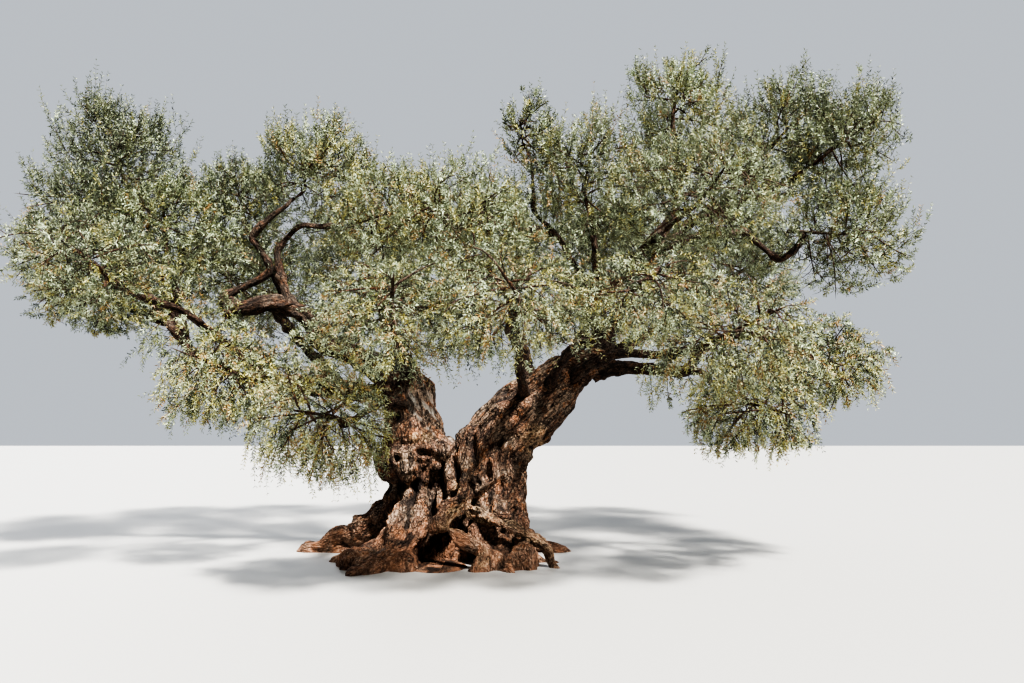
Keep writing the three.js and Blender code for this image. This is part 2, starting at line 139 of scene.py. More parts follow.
def smooth_line(points, count=120):
    """A centripetal Catmull-Rom curve through the points: between two of them it is the cubic whose end
    slopes blend the chords on both sides, each weighed by the square root of its length. The result is
    count places at equal lengths along it."""
    points = np.asarray(points, float)
    row = np.vstack([2 * points[0] - points[1], points, 2 * points[-1] - points[-2]])
    before, start, end, after = row[:-3], row[1:-2], row[2:-1], row[3:]
    pace = np.sqrt(np.linalg.norm(np.diff(row, axis=0), axis=1))[:, None]
    p0, p1, p2 = pace[:-2], pace[1:-1], pace[2:]
    leave = ((start - before) / p0 - (end - before) / (p0 + p1) + (end - start) / p1) * p1
    arrive = ((end - start) / p1 - (after - start) / (p1 + p2) + (after - end) / p2) * p1
    u = np.linspace(0, 1, STEPS_BETWEEN + 1)[:-1, None, None]
    square = 3 * (end - start) - 2 * leave - arrive
    cube = 2 * (start - end) + leave + arrive
    fine = start + leave * u + square * u**2 + cube * u**3
    fine = np.vstack([fine.transpose(1, 0, 2).reshape(-1, 3), points[-1]])
    return spaced(fine, count)


def spaced(line, count):
    """The same line with its points at equal lengths."""
    far = np.concatenate([[0], np.cumsum(np.linalg.norm(np.diff(line, axis=0), axis=1))])
    even = np.linspace(0, far[-1], count)
    return np.column_stack([np.interp(even, far, line[:, axis]) for axis in range(3)])


def spot(line, share):
    """The place at a share of the length of an evenly spaced line."""
    share = np.asarray(share, float)
    steps = np.linspace(0, 1, len(line))
    return np.stack([np.interp(share, steps, line[:, axis]) for axis in range(3)], -1)


SMALLEST = 1e-9


def unit(vectors):
    """The vectors, each over its own length."""
    return vectors / np.maximum(np.linalg.norm(vectors, axis=-1, keepdims=True), SMALLEST)


SHARE_STEP = 0.004


def heading(line, share):
    """The unit tangent at a share of the length."""
    return unit(spot(line, min(share + SHARE_STEP, 1)) - spot(line, max(share - SHARE_STEP, 0)))


def along(values, share):
    """The value at a share of the way along a short list of evenly spaced ones."""
    return np.interp(share, np.linspace(0, 1, len(values)), values)


def carried_frames(paths):
    """Tangent, over and across at every ring of many paths (paths, rings, 3). Over starts square to the path,
    and each ring takes the last one's, less its part along the new tangent, so it never twists."""
    slope = np.gradient(paths, axis=1)
    slope[:, 0], slope[:, -1] = slope[:, 1], slope[:, -2]
    tangent = unit(slope)
    over = np.empty_like(tangent)
    flattest = np.eye(3)[np.abs(tangent[:, 0]).argmin(-1)]
    last = np.cross(tangent[:, 0], flattest)
    for ring in range(paths.shape[1]):
        last = unit(last - (last * tangent[:, ring]).sum(-1, keepdims=True) * tangent[:, ring])
        over[:, ring] = last
    return tangent, over, np.cross(tangent, over)


def tubes(paths, radii, sides):
    """Closed tubes along many paths at once. The first and last places of a path are poles, and each place
    between them has a ring: path + radius * (cos a * over + sin a * across). radii is (paths, rings) or,
    where it changes round the tube, (paths, rings, sides)."""
    _, over, across = (axis[:, 1:-1, None] for axis in carried_frames(paths))
    count, rings = over.shape[:2]
    angle = (np.arange(sides) * 2 * np.pi / sides)[:, None]
    reach = radii if radii.ndim == 3 else radii[..., None]
    skin = paths[:, 1:-1, None] + reach[..., None] * (np.cos(angle) * over + np.sin(angle) * across)
    places = np.concatenate([paths[:, :1], skin.reshape(count, -1, 3), paths[:, -1:]], 1)
    first = (np.arange(count) * (rings * sides + 2))[:, None]
    here, beside = np.arange(sides) + 1, (np.arange(sides) + 1) % sides + 1
    low = (first + np.arange(rings - 1) * sides)[..., None]
    walls = np.stack([low + here, low + beside, low + beside + sides, low + here + sides], -1)
    foot = np.stack([first + beside, first + here, first + 0 * here], -1)
    top = first + (rings - 1) * sides
    tip = np.stack([top + here, top + beside, top + sides + 1 + 0 * here], -1)
    return places.reshape(-1, 3), walls.reshape(-1, 4), np.concatenate([foot, tip]).reshape(-1, 3)


def capped(path):
    """A path whose end rings are closed flat: each end place is there twice, as the pole and the ring."""
    return np.concatenate([path[:1], path, path[-1:]])[None]


def mesh_of(name, places, *face_sets):
    """A mesh from an array of places and arrays of faces, each set all triangles or all quads."""
    mesh = bpy.data.meshes.new(name)
    corners = np.concatenate([faces.ravel() for faces in face_sets]).astype(np.int32)
    sizes = np.concatenate([np.full(len(faces), faces.shape[1]) for faces in face_sets])
    mesh.vertices.add(len(places))
    mesh.vertices.foreach_set("co", places.astype(np.float32).ravel())
    mesh.loops.add(len(corners))
    mesh.loops.foreach_set("vertex_index", corners)
    mesh.polygons.add(len(sizes))
    mesh.polygons.foreach_set("loop_start", (np.cumsum(sizes) - sizes).astype(np.int32))
    mesh.update(calc_edges=True)
    mesh.shade_smooth()
    return mesh


def piece_of(name, mesh, material, slot, *nodes):
    """A piece that rides on the tree and stands for CAD nodes."""
    mesh.materials.clear()
    piece = bpy.data.objects.new(name, mesh)
    bpy.context.scene.collection.objects.link(piece)
    mesh.materials.append(material)
    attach(piece, "root")
    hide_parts(*nodes)
    return piece


# Random values and random places, one for each of the unit cubes of a block that repeats
BLOCK = 48
LATTICE = np.random.default_rng(7).random((BLOCK,) * 3).astype(np.float32)
SEEDS = np.random.default_rng(8).random((*(BLOCK,) * 3, 3)).astype(np.float32)


def grain(places, shift=0):
    """Smooth noise from -1 to 1: random values on the corners of unit cubes, blended by 3u^2 - 2u^3. Another
    shift starts at another cube of the block, which gives another noise."""
    cell = np.floor(places).astype(np.int64)
    part = (places - cell).astype(np.float32)
    part = part * part * (3 - 2 * part)
    value = np.zeros(places.shape[:-1], np.float32)
    for corner in np.ndindex(2, 2, 2):
        weight = np.prod(np.where(corner, part, 1 - part), axis=-1)
        index = (cell + corner + shift * 13) % BLOCK
        value += weight * LATTICE[index[..., 0], index[..., 1], index[..., 2]]
    return 2 * value - 1


CRACK_WIDTH = 0.3


def plates(places, shift=0):
    """Bark plates: 0 on the cracks between them and 1 on their backs. Each unit cube holds one seed, and the
    value is the distance to the second nearest seed less that to the nearest, over CRACK_WIDTH, at most 1."""
    home = np.floor(places).astype(np.int64)
    nearest = np.full(places.shape[:-1], 9, np.float32)
    second = nearest.copy()
    for corner in np.ndindex(3, 3, 3):
        cell = home + corner - 1
        index = (cell + shift * 11) % BLOCK
        seed = cell + SEEDS[index[..., 0], index[..., 1], index[..., 2]]
        distance = np.linalg.norm(seed - places, axis=-1)
        second = np.minimum(second, np.maximum(nearest, distance))
        nearest = np.minimum(nearest, distance)
    return np.clip((second - nearest) / CRACK_WIDTH, 0, 1)


# Widths, lengths and depths of the great flutes, how far and over what width they sway, and over what width
# they fade. Then the sizes of the plates, the share of their depth that lies below the skin, how far and over
# what width they sway, and the grain on top of them.
FLUTES = [(0.2, 0.9, 0.095), (0.09, 0.42, 0.048)]
SWAY, SWAY_WIDTH, FADE_WIDTH = 0.07, 0.28, 0.5
PLATE_WIDTH, PLATE_LENGTH, PLATE_DEPTH, PLATE_SUNK = 0.042, 0.17, 0.014, 0.7
PLATE_SWAY, PLATE_SWAY_WIDTH = 0.02, 0.07
GRAIN_WIDTH, GRAIN_DEPTH = 0.04, 0.008


def flutes(local, shift=0):
    """Height of the flutes over a limb, from places in the limb's own frame (two across it, one along it). It
    is the sum of folds: each is the depth times 2 |noise| - 0.5, whose creases are sharp and whose backs are
    round, with the noise stretched along the fibres. Slower noises make the fibres wander, and the folds fade
    and grow by 0.75 + 0.5 noise."""
    across = [grain(local / SWAY_WIDTH, shift + axis) for axis in (1, 2)]
    bent = local + np.stack([*across, 0 * local[..., 0]], -1) * SWAY
    height = 0
    for step, (width, length, depth) in enumerate(FLUTES):
        fold = np.abs(grain(bent / (width, width, length), shift + step * 3 + 4)) * 2 - 0.5
        height = height + depth * fold * (0.75 + 0.5 * grain(local / FADE_WIDTH, shift + step + 20))
    return height


def bark_relief(local, shift=0, scale=1.0):
    """Height of the bark's own surface: the square root of plates, which makes their backs flat and the
    cracks between them sharp, after a noise has moved the places a little, and a finer grain all over."""
    sway = [grain(local / (PLATE_SWAY_WIDTH * scale), shift + axis) for axis in range(3)]
    sway = np.stack(sway, -1) * PLATE_SWAY * scale
    size = np.array([PLATE_WIDTH, PLATE_WIDTH, PLATE_LENGTH]) * scale
    height = PLATE_DEPTH * scale * (np.sqrt(plates((local + sway) / size, shift)) - PLATE_SUNK)
    return height + GRAIN_DEPTH * scale * grain(local / (GRAIN_WIDTH * scale), shift + 5)


# A root's height at shares of its reach, and how far out it lies on its arm, as a share of the arm's radius,
# at shares of the arm's length. Its radii are shares of its thickness, then of the arm's radius at RIB_AT.
ROOT_HEIGHTS = [(1, -0.07), (0.78, 0.04), (0.56, 0.21)]
ON_ARM = [(0.3, 0.62), (0.45, 0.62), (0.6, 0.62), (0.75, 0.62), (0.9, 0.3)]
ROOT_SHARES = (0.45, 0.8, 1.15, 1.2)
RIB_AT, RIB_SHARE, RIB_TIP = 0.6, 0.48, 0.6


def sinew(bearing, reach, thick):
    """A root's line in from its tip and up its arm, and its radii. On the arm it keeps a share of the arm's
    radius from the middle, at a bearing that turns with the height."""
    bearing = np.radians(bearing)
    arm = ARMS["left" if np.cos(bearing) < 0 else "right"]
    line = smooth_line(arm["middle"])
    points = [
        (np.cos(bearing) * reach * share, np.sin(bearing) * reach * share, height)
        for share, height in ROOT_HEIGHTS
    ]
    for share, depth in ON_ARM:
        tangent = heading(line, share)
        turned = bearing + arm["twist"] * share
        sideways = np.array([np.cos(turned), np.sin(turned), 0])
        sideways = unit(sideways - sideways.dot(tangent) * tangent)
        points.append(spot(line, share) + sideways * along(arm["radii"], share) * depth)
    rib = along(arm["radii"], RIB_AT) * RIB_SHARE
    return {"middle": points, "radii": [*(thick * share for share in ROOT_SHARES), rib, rib * RIB_TIP]}


strands = [
    {"middle": arm["middle"], "radii": [radius * HEARTWOOD for radius in arm["radii"]]}
    for arm in ARMS.values()
]
strands += [WAIST, *[sinew(*root) for root in ROOTS], KNEE, ARCH, SPIKE]
for strand in strands:
    strand["line"] = smooth_line(strand["middle"])


def length_of(line):
    """The sum of the distances between a line's places."""
    return np.linalg.norm(np.diff(line, axis=0), axis=1).sum()


RING_GAP, FEWEST_RINGS = 0.05, 6


def strand_tube(strand, sides):
    """A closed tube on a strand's line, with rings about RING_GAP apart."""
    share = np.linspace(0, 1, max(FEWEST_RINGS, round(length_of(strand["line"]) / RING_GAP)))
    return tubes(capped(spot(strand["line"], share)), along(strand["radii"], share)[None], sides)


BALL_RINGS, BALL_SIDES, POLE_ANGLE = 24, 40, 0.02


def ball(middle, size):
    """An ellipsoid: a tube up the Z axis from -1 to 1 whose radius is sqrt(1 - z^2), scaled to its half
    sizes."""
    turn = np.linspace(POLE_ANGLE, np.pi - POLE_ANGLE, BALL_RINGS)
    path = np.column_stack([np.zeros((BALL_RINGS, 2)), -np.cos(turn)])
    places, *faces = tubes(capped(path), np.sin(turn)[None], BALL_SIDES)
    return places * np.array(size) + np.array(middle), *faces


def joined(parts):
    """Places, quads and triangles of many shapes in one."""
    first = np.cumsum([0] + [len(part[0]) for part in parts[:-1]])
    return (
        np.concatenate([part[0] for part in parts]),
        *(np.concatenate([part[kind] + start for part, start in zip(parts, first)]) for kind in (1, 2)),
    )


def evaluated(mesh, *modifiers):
    """The mesh after modifiers, each a type with its settings, are applied in turn."""
    carrier = bpy.data.objects.new("carrier", mesh)
    bpy.context.scene.collection.objects.link(carrier)
    for kind, settings in modifiers:
        modifier = carrier.modifiers.new(kind, kind)
        for key, value in settings.items():
            setattr(modifier, key, value)
    graph = bpy.context.evaluated_depsgraph_get()
    made = bpy.data.meshes.new_from_object(carrier.evaluated_get(graph))
    bpy.data.objects.remove(carrier)
    return made


def places_of(mesh):
    """The places of a mesh's vertices, as (vertices, 3)."""
    places = np.empty(len(mesh.vertices) * 3, np.float32)
    mesh.vertices.foreach_get("co", places)
    return places.reshape(-1, 3)


def normals_of(mesh):
    """The unit normals of a mesh's vertices, as (vertices, 3)."""
    normals = np.empty(len(mesh.vertices) * 3, np.float32)
    mesh.vertex_normals.foreach_get("vector", normals)
    return normals.reshape(-1, 3)


def in_frame(places, line, radii):
    """For each place, how it lies to the nearest point of a line: two distances across, in a frame carried
    along the line, and the length along; and how far it stands proud of the radii."""
    _, over, across = (axis[0] for axis in carried_frames(line[None]))
    near = np.empty(len(places), int)
    for part in np.array_split(np.arange(len(places)), 12):
        near[part] = ((places[part, None] - line) ** 2).sum(-1).argmin(1)
    offset = places - line[near]
    share = near / (len(line) - 1)
    tangent = unit(np.gradient(line, axis=0))[near]
    run = share * length_of(line) + (offset * tangent).sum(-1)
    local = np.column_stack([(offset * over[near]).sum(-1), (offset * across[near]).sum(-1), run])
    return local, np.linalg.norm(offset, axis=1) - along(radii, share)


BLEND = 0.015
NEAR = 0.12


def frames_on(places):
    """For each strand and swelling of the trunk: the places near it, where they lie in its own frame, and
    their weight, which is 1 inside it and falls off outside by exp(-distance / BLEND)."""
    rows = []
    for strand in strands:
        line, reach = spaced(strand["line"], 60), max(strand["radii"]) + NEAR
        near = ((places > line.min(0) - reach) & (places < line.max(0) + reach)).all(1).nonzero()[0]
        rows.append((near, *in_frame(places[near], line, strand["radii"])))
    for middle, size in SWELLINGS:
        near = (np.abs(places - middle) < np.array(size) + NEAR).all(1).nonzero()[0]
        offset = places[near] - middle
        rows.append((near, offset, (np.linalg.norm(offset / np.array(size), axis=1) - 1) * np.mean(size)))
    return [(near, local, np.exp(-np.maximum(proud, 0) / BLEND)) for near, local, proud in rows]


def over_trunk(rows, count, surface):
    """The weighted mean, over the strands that a place lies on, of a surface's height, which has its own
    noise on each strand."""
    height, weight = np.zeros(count), np.full(count, 1e-6)
    for index, (near, local, share) in enumerate(rows):
        height[near] += share * surface(local, index * 5)
        weight[near] += share
    return height / weight


SPOT_SIZE = 0.04


def skin_spot(places, bearing, across, height):
    """The outermost place seen from a bearing, at a distance across that view and a height."""
    out = np.array([np.cos(np.radians(bearing)), np.sin(np.radians(bearing)), 0])
    side = np.array([-out[1], out[0], 0])
    near = (np.abs(places @ side - across) < SPOT_SIZE) & (np.abs(places[:, 2] - height) < SPOT_SIZE)
    chosen = np.flatnonzero(near)
    return places[chosen[(places[chosen] @ out).argmax()]], out


# Old pruning wounds: bearing of the view, distance across it, height, radius, how many times as tall as wide,
# how far the healed rim stands proud, and how deep the wood has rotted. The first six are at the front.
SCARS = [
    (-90, -0.28, 1.28, 0.085, 0.45, 0.045, 0.17),
    (-90, -0.63, 1.22, 0.072, 0.8, 0.025, 0.13),
    (-90, 0.5, 1.06, 0.085, 2.2, 0.045, 0.15),
    (-90, 0.3, 0.86, 0.12, 1.4, 0.035, 0.05),
    (-90, 0.72, 0.62, 0.11, 0.7, 0.035, 0.03),
    (-90, 0.86, 1.95, 0.09, 1.8, 0.03, 0.06),
    (-170, 0.1, 1.5, 0.09, 1.6, 0.035, 0.12),
    (-200, -0.15, 0.7, 0.1, 1, 0.03, 0.1),
    (-20, 0, 1.1, 0.1, 1.7, 0.04, 0.12),
    (10, 0.2, 0.6, 0.08, 0.7, 0.03, 0.08),
    (90, 0.45, 1.35, 0.1, 1.6, 0.04, 0.14),
    (90, -0.55, 0.95, 0.09, 0.7, 0.035, 0.1),
    (90, -0.95, 1.75, 0.08, 1.8, 0.03, 0.08),
    (90, 0.1, 0.6, 0.11, 1.3, 0.035, 0.06),
]


RIM_WIDTH, ROT_WIDTH = 0.4, 0.66


def scarred(places, normals):
    """How far scars move places: out along the normal by the rim times exp(-((d - 1) / RIM_WIDTH)^2), and in
    along the view by the depth times exp(-(d / ROT_WIDTH)^4). Here d is the distance over the scar's
    radius."""
    move = np.zeros_like(places)
    for bearing, across, height, radius, tall, rim, depth in SCARS:
        middle, out = skin_spot(places, bearing, across, height)
        offset = (places - middle) * (tall**0.5, tall**0.5, tall**-0.5)
        distance = np.linalg.norm(offset, axis=1) / radius * (1 + 0.4 * grain(places / 0.07, 41))
        move += normals * (rim * np.exp(-(((distance - 1) / RIM_WIDTH) ** 2)))[:, None]
        move -= out * (depth * np.exp(-((distance / ROT_WIDTH) ** 4)))[:, None]
    return move


# Where the surface draws in under the burl, at its left and in front: middle, half sizes and depth
NECKS = [
    ((-0.76, -0.2, 0.83), (0.34, 0.42, 0.085), 0.15),
    ((-0.42, -0.56, 0.84), (0.3, 0.3, 0.07), 0.09),
]
# Crevices in the front, as places across and up, with their width and depth: between the two arms, up the
# right arm, three that run down from the burl, and one near the right arm's outer side
CREVICES = [
    ([(0.1, 1.5), (0.06, 1.2), (0.1, 0.95), (0.02, 0.72)], 0.032, 0.15),
    ([(0.42, 1.85), (0.3, 1.6), (0.27, 1.35), (0.33, 1.1)], 0.028, 0.12),
    ([(-0.16, 1), (-0.2, 0.7), (-0.18, 0.46)], 0.036, 0.14),
    ([(-0.38, 0.88), (-0.42, 0.6), (-0.45, 0.36)], 0.036, 0.14),
    ([(-0.6, 0.86), (-0.66, 0.66), (-0.78, 0.4)], 0.034, 0.12),
    ([(0.66, 1.5), (0.6, 1.2), (0.62, 0.9), (0.68, 0.7)], 0.028, 0.09),
]


def drawn_in(places):
    """How far necks and crevices draw the surface in: the depth times exp(-d^2), where d is the distance over
    the half sizes of a neck, or over the width of a crevice as it is seen from the front."""
    depth_here = np.zeros(len(places))
    for middle, size, depth in NECKS:
        depth_here += depth * np.exp(-(((places - middle) / np.array(size)) ** 2).sum(1))
    for points, width, depth in CREVICES:
        line = smooth_line(np.array([(x, 0, z) for x, z in points]), 60)
        near = np.sqrt(((places[:, None, [0, 2]] - line[:, [0, 2]]) ** 2).sum(-1).min(1))
        wide = width * (1 + 0.5 * grain(places / 0.09, 43))
        depth_here += depth * np.exp(-((near / wide) ** 2)) * (places[:, 1] < -0.15)
    return depth_here


# Weathered bare wood: the torn flank that runs down the left arm to the fork, its ends fading out
FLANK_TOP, FLANK_FOOT = np.array([-0.5, -0.3, 1.98]), np.array([-0.02, -0.35, 1.44])
FLANK_WIDTH, FLANK_EXTRA, FLANK_FADE = 0.17, 0.15, 0.2
# How deep the flank is worn, and the width, length and depth of its furrows and of its splinters
FLANK_DEPTH = 0.03
FURROW_WIDTH, FURROW_LENGTH, FURROW_DEPTH = 0.05, 0.4, 0.035
SPLINTER_WIDTH, SPLINTER_LENGTH, SPLINTER_DEPTH = 0.02, 0.3, 0.012
STRIPE_WIDTH, STRIPE_LENGTH = 0.028, 0.35


def on_flank(places):
    """How far a place is on the torn flank, from 0 to 1, and its distances across and along it. It is
    exp(-(across / FLANK_WIDTH)^4), fading out past both ends."""
    way = unit(FLANK_FOOT - FLANK_TOP)
    run = (places - FLANK_TOP) @ way
    across = (places - FLANK_TOP) @ np.cross(way, (0, 1, 0))
    length = np.linalg.norm(FLANK_FOOT - FLANK_TOP)
    inside = np.exp(-((across / FLANK_WIDTH) ** 4)) * np.clip((run + FLANK_EXTRA) / FLANK_FADE, 0, 1)
    inside *= np.clip((length + FLANK_EXTRA - run) / FLANK_FADE, 0, 1)
    return inside * (places[:, 1] < -0.05), across, run


def flank_grain(across, run, width, length, shift):
    """Noise drawn out down the torn flank."""
    return grain(np.column_stack([across / width, 0 * run, run / length]), shift)


def with_floor(mesh):
    """The trunk with the rotted wood that lies in the hollow."""
    shapes = bmesh.new()
    shapes.from_mesh(mesh)
    shapes.from_mesh(mesh_of("hollow_floor", *ball(*HOLLOW_FLOOR)))
    shapes.to_mesh(mesh)
    shapes.free()
    return mesh


def ground_block():
    """A flat box from the ground level down, wider than the roots."""
    steps = np.array([(x, y, z) for z in (-2, 0) for y in (-4, 4) for x in (-4, 4)], float)
    sides = np.array([(0, 2, 3, 1), (4, 5, 7, 6), (0, 1, 5, 4), (2, 6, 7, 3), (0, 4, 6, 2), (1, 3, 7, 5)])
    return mesh_of("ground_block", steps, sides)


ROUGH_VOXEL, VOXEL = 0.024, 0.0195
ARM_SIDES, ROOT_SIDES = 36, 20
LUMPS = [(0.3, 0.05, 31), (0.13, 0.028, 32)]  # width, depth, and which noise
hollow = bpy.data.objects.new("hollow", mesh_of("hollow", *ball(*HOLLOW)))
below = bpy.data.objects.new("below", ground_block())
for tool in (hollow, below):
    bpy.context.scene.collection.objects.link(tool)
thick_ones = len(ARMS) + 1
wood = [strand_tube(strand, ARM_SIDES) for strand in strands[:thick_ones]]
wood += [strand_tube(strand, ROOT_SIDES) for strand in strands[thick_ones:]]
wood += [ball(*swelling) for swelling in SWELLINGS]
rough_mesh = evaluated(
    mesh_of("trunk_rough", *joined(wood)),
    ("REMESH", {"mode": "VOXEL", "voxel_size": ROUGH_VOXEL}),
    ("BOOLEAN", {"operation": "DIFFERENCE", "object": hollow, "solver": "MANIFOLD"}),
    ("SMOOTH", {"factor": 0.5, "iterations": 8}),
)
places, normals = places_of(rough_mesh), normals_of(rough_mesh)
height = over_trunk(frames_on(places), len(places), flutes)
height += sum(depth * grain(places / width, shift) for width, depth, shift in LUMPS)
flank, across, run = on_flank(places)
furrows = FURROW_DEPTH * flank_grain(across, run, FURROW_WIDTH, FURROW_LENGTH, 33)
height -= flank * (FLANK_DEPTH + furrows)
places = places + normals * (height - drawn_in(places))[:, None] + scarred(places, normals)
rough_mesh.vertices.foreach_set("co", places.astype(np.float32).ravel())
trunk_mesh = evaluated(
    with_floor(rough_mesh),
    ("REMESH", {"mode": "VOXEL", "voxel_size": VOXEL}),
    ("SMOOTH", {"factor": 0.5, "iterations": 2}),
    ("BOOLEAN", {"operation": "DIFFERENCE", "object": below, "solver": "MANIFOLD"}),
)
for tool in (hollow, below):
    bpy.data.objects.remove(tool)
places, normals = places_of(trunk_mesh), normals_of(trunk_mesh)
rows = frames_on(places)
bark = over_trunk(rows, len(places), bark_relief)
folds = over_trunk(rows, len(places), flutes)
flank, across, run = on_flank(places)
splinters = SPLINTER_DEPTH * flank_grain(across, run, SPLINTER_WIDTH, SPLINTER_LENGTH, 34)
height = bark * (1 - 0.8 * flank) + splinters * flank
height *= np.clip(places[:, 2] / 0.04, 0, 1)
places = places + normals * height[:, None]
trunk_mesh.vertices.foreach_set("co", places.astype(np.float32).ravel())
trunk_mesh.update()


def add_layer(mesh, name, values):
    """Keeps one number, or one vector, for each vertex of a mesh."""
    layer = mesh.attributes.new(name, "FLOAT" if values.ndim == 1 else "FLOAT_VECTOR", "POINT")
    layer.data.foreach_set("value" if values.ndim == 1 else "vector", values.astype(np.float32).ravel())


# What the bark follows: the fibres, the creases, the bare and the silvered wood, and the earth at the foot.
# The creases carry painted shade: a fold of one depth, and a neck or a crevice of another, is wholly dark,
# and the hollow is dark by a share.
FOLD_DARK_AT, CUT_DARK_AT, HOLLOW_DARKNESS = 0.043, 0.14, 0.7
EARTH_HEIGHT = 0.5
fibre, best = np.zeros_like(places), np.zeros(len(places))
for index, (near, local, share) in enumerate(rows):
    better = share > best[near]
    fibre[near[better]] = local[better] + index * 3.7
    best[near[better]] = share[better]
add_layer(trunk_mesh, "fibre", fibre)
pit = np.linalg.norm((places - HOLLOW[0]) / np.array(HOLLOW[1]), axis=1)
in_pit = np.exp(-((pit / 1.08) ** 6))
# Painted shade: the hollow, the necks and the crevices darken the bark, on top of the folds.
recess_shade = HOLLOW_DARKNESS * in_pit + drawn_in(places) / CUT_DARK_AT
add_layer(trunk_mesh, "painted_crease_shade", np.clip(-(folds + bark * 1.4) / FOLD_DARK_AT + recess_shade, 0, 1))
bare = np.zeros(len(places))
for strand, (near, _, share) in zip(strands, rows):
    bare[near] = np.maximum(bare[near], strand.get("bare", 0) * share**2)
# Partly painted light: the right arm's underside is painted as pale bare wood, partly bare wood and partly
# light bounced up from the ground.
ARM_UNDERSIDE = ((1.02, -0.2, 1.42), (0.2, 0.3, 0.2))
BURL_TOP = ((-0.34, -0.4, 1.44), (0.16, 0.2, 0.07))
for middle, size in (ARM_UNDERSIDE, BURL_TOP):
    bare += np.exp(-(((places - middle) / np.array(size)) ** 2).sum(1) ** 2)
add_layer(trunk_mesh, "bare", np.clip(bare * (0.75 + 0.6 * grain(places / 0.06, 36)), 0, 1))
stripes = flank_grain(across, run, STRIPE_WIDTH, STRIPE_LENGTH, 35)
add_layer(trunk_mesh, "silver", flank * np.clip(0.35 + 1.6 * stripes, 0, 0.85))
earth = np.clip((EARTH_HEIGHT - places[:, 2]) / EARTH_HEIGHT, 0, 1) * 0.6
earth = earth + 0.8 * np.exp(-((pit / 1.2) ** 4))
add_layer(trunk_mesh, "earth", np.clip(earth, 0, 1))


def node(tree, kind, inputs=None, **settings):
    """A shader node with its settings. Each input is a number, a colour or another node's output."""
    made = tree.nodes.new("ShaderNode" + kind)
    for key, value in settings.items():
        setattr(made, key, value)
    for socket, value in (inputs or {}).items():
        if isinstance(value, bpy.types.NodeSocket):
            tree.links.new(value, made.inputs[socket])
        else:
            made.inputs[socket].default_value = value
    return made


def painted(tree, share, under, over):
    """One colour laid over another, by a share that may change over the surface."""
    under, over = (
        color if isinstance(color, bpy.types.NodeSocket) else (*color, 1)
        for color in (under, over)
    )
    return node(tree, "Mix", {0: share, 6: under, 7: over}, data_type="RGBA").outputs[2]


def rise(tree, value, low, high, top=1.0):
    """A smooth step from 0 at the low value to the top at the high one."""
    inputs = {"Value": value, "From Min": low, "From Max": high, "To Max": top}
    return node(tree, "MapRange", inputs, interpolation_type="SMOOTHSTEP").outputs[0]


def times(tree, value, other):
    """One value times another."""
    return node(tree, "Math", {0: value, 1: other}, operation="MULTIPLY").outputs[0]


def noise(tree, vector, scale, detail, roughness):
    """Fractal noise, about 0.5 in the middle, from sums of ever finer grain."""
    inputs = {"Vector": vector, "Scale": scale, "Detail": detail, "Roughness": roughness}
    return node(tree, "TexNoise", inputs).outputs[0]


DARK, BROWN, GREY = (0.012, 0.008, 0.007), (0.135, 0.07, 0.045), (0.21, 0.155, 0.115)
RUST, FLECK_AND_HIGHLIGHT, EARTH = (0.28, 0.11, 0.045), (0.45, 0.33, 0.23), (0.3, 0.15, 0.09)
BARE_WOOD, SILVER = (0.4, 0.28, 0.17), (0.25, 0.235, 0.21)
ALONG_FIBRE = (1, 1, 0.25)
BARK_SWAY = (0.05, 0.05, 0.05)


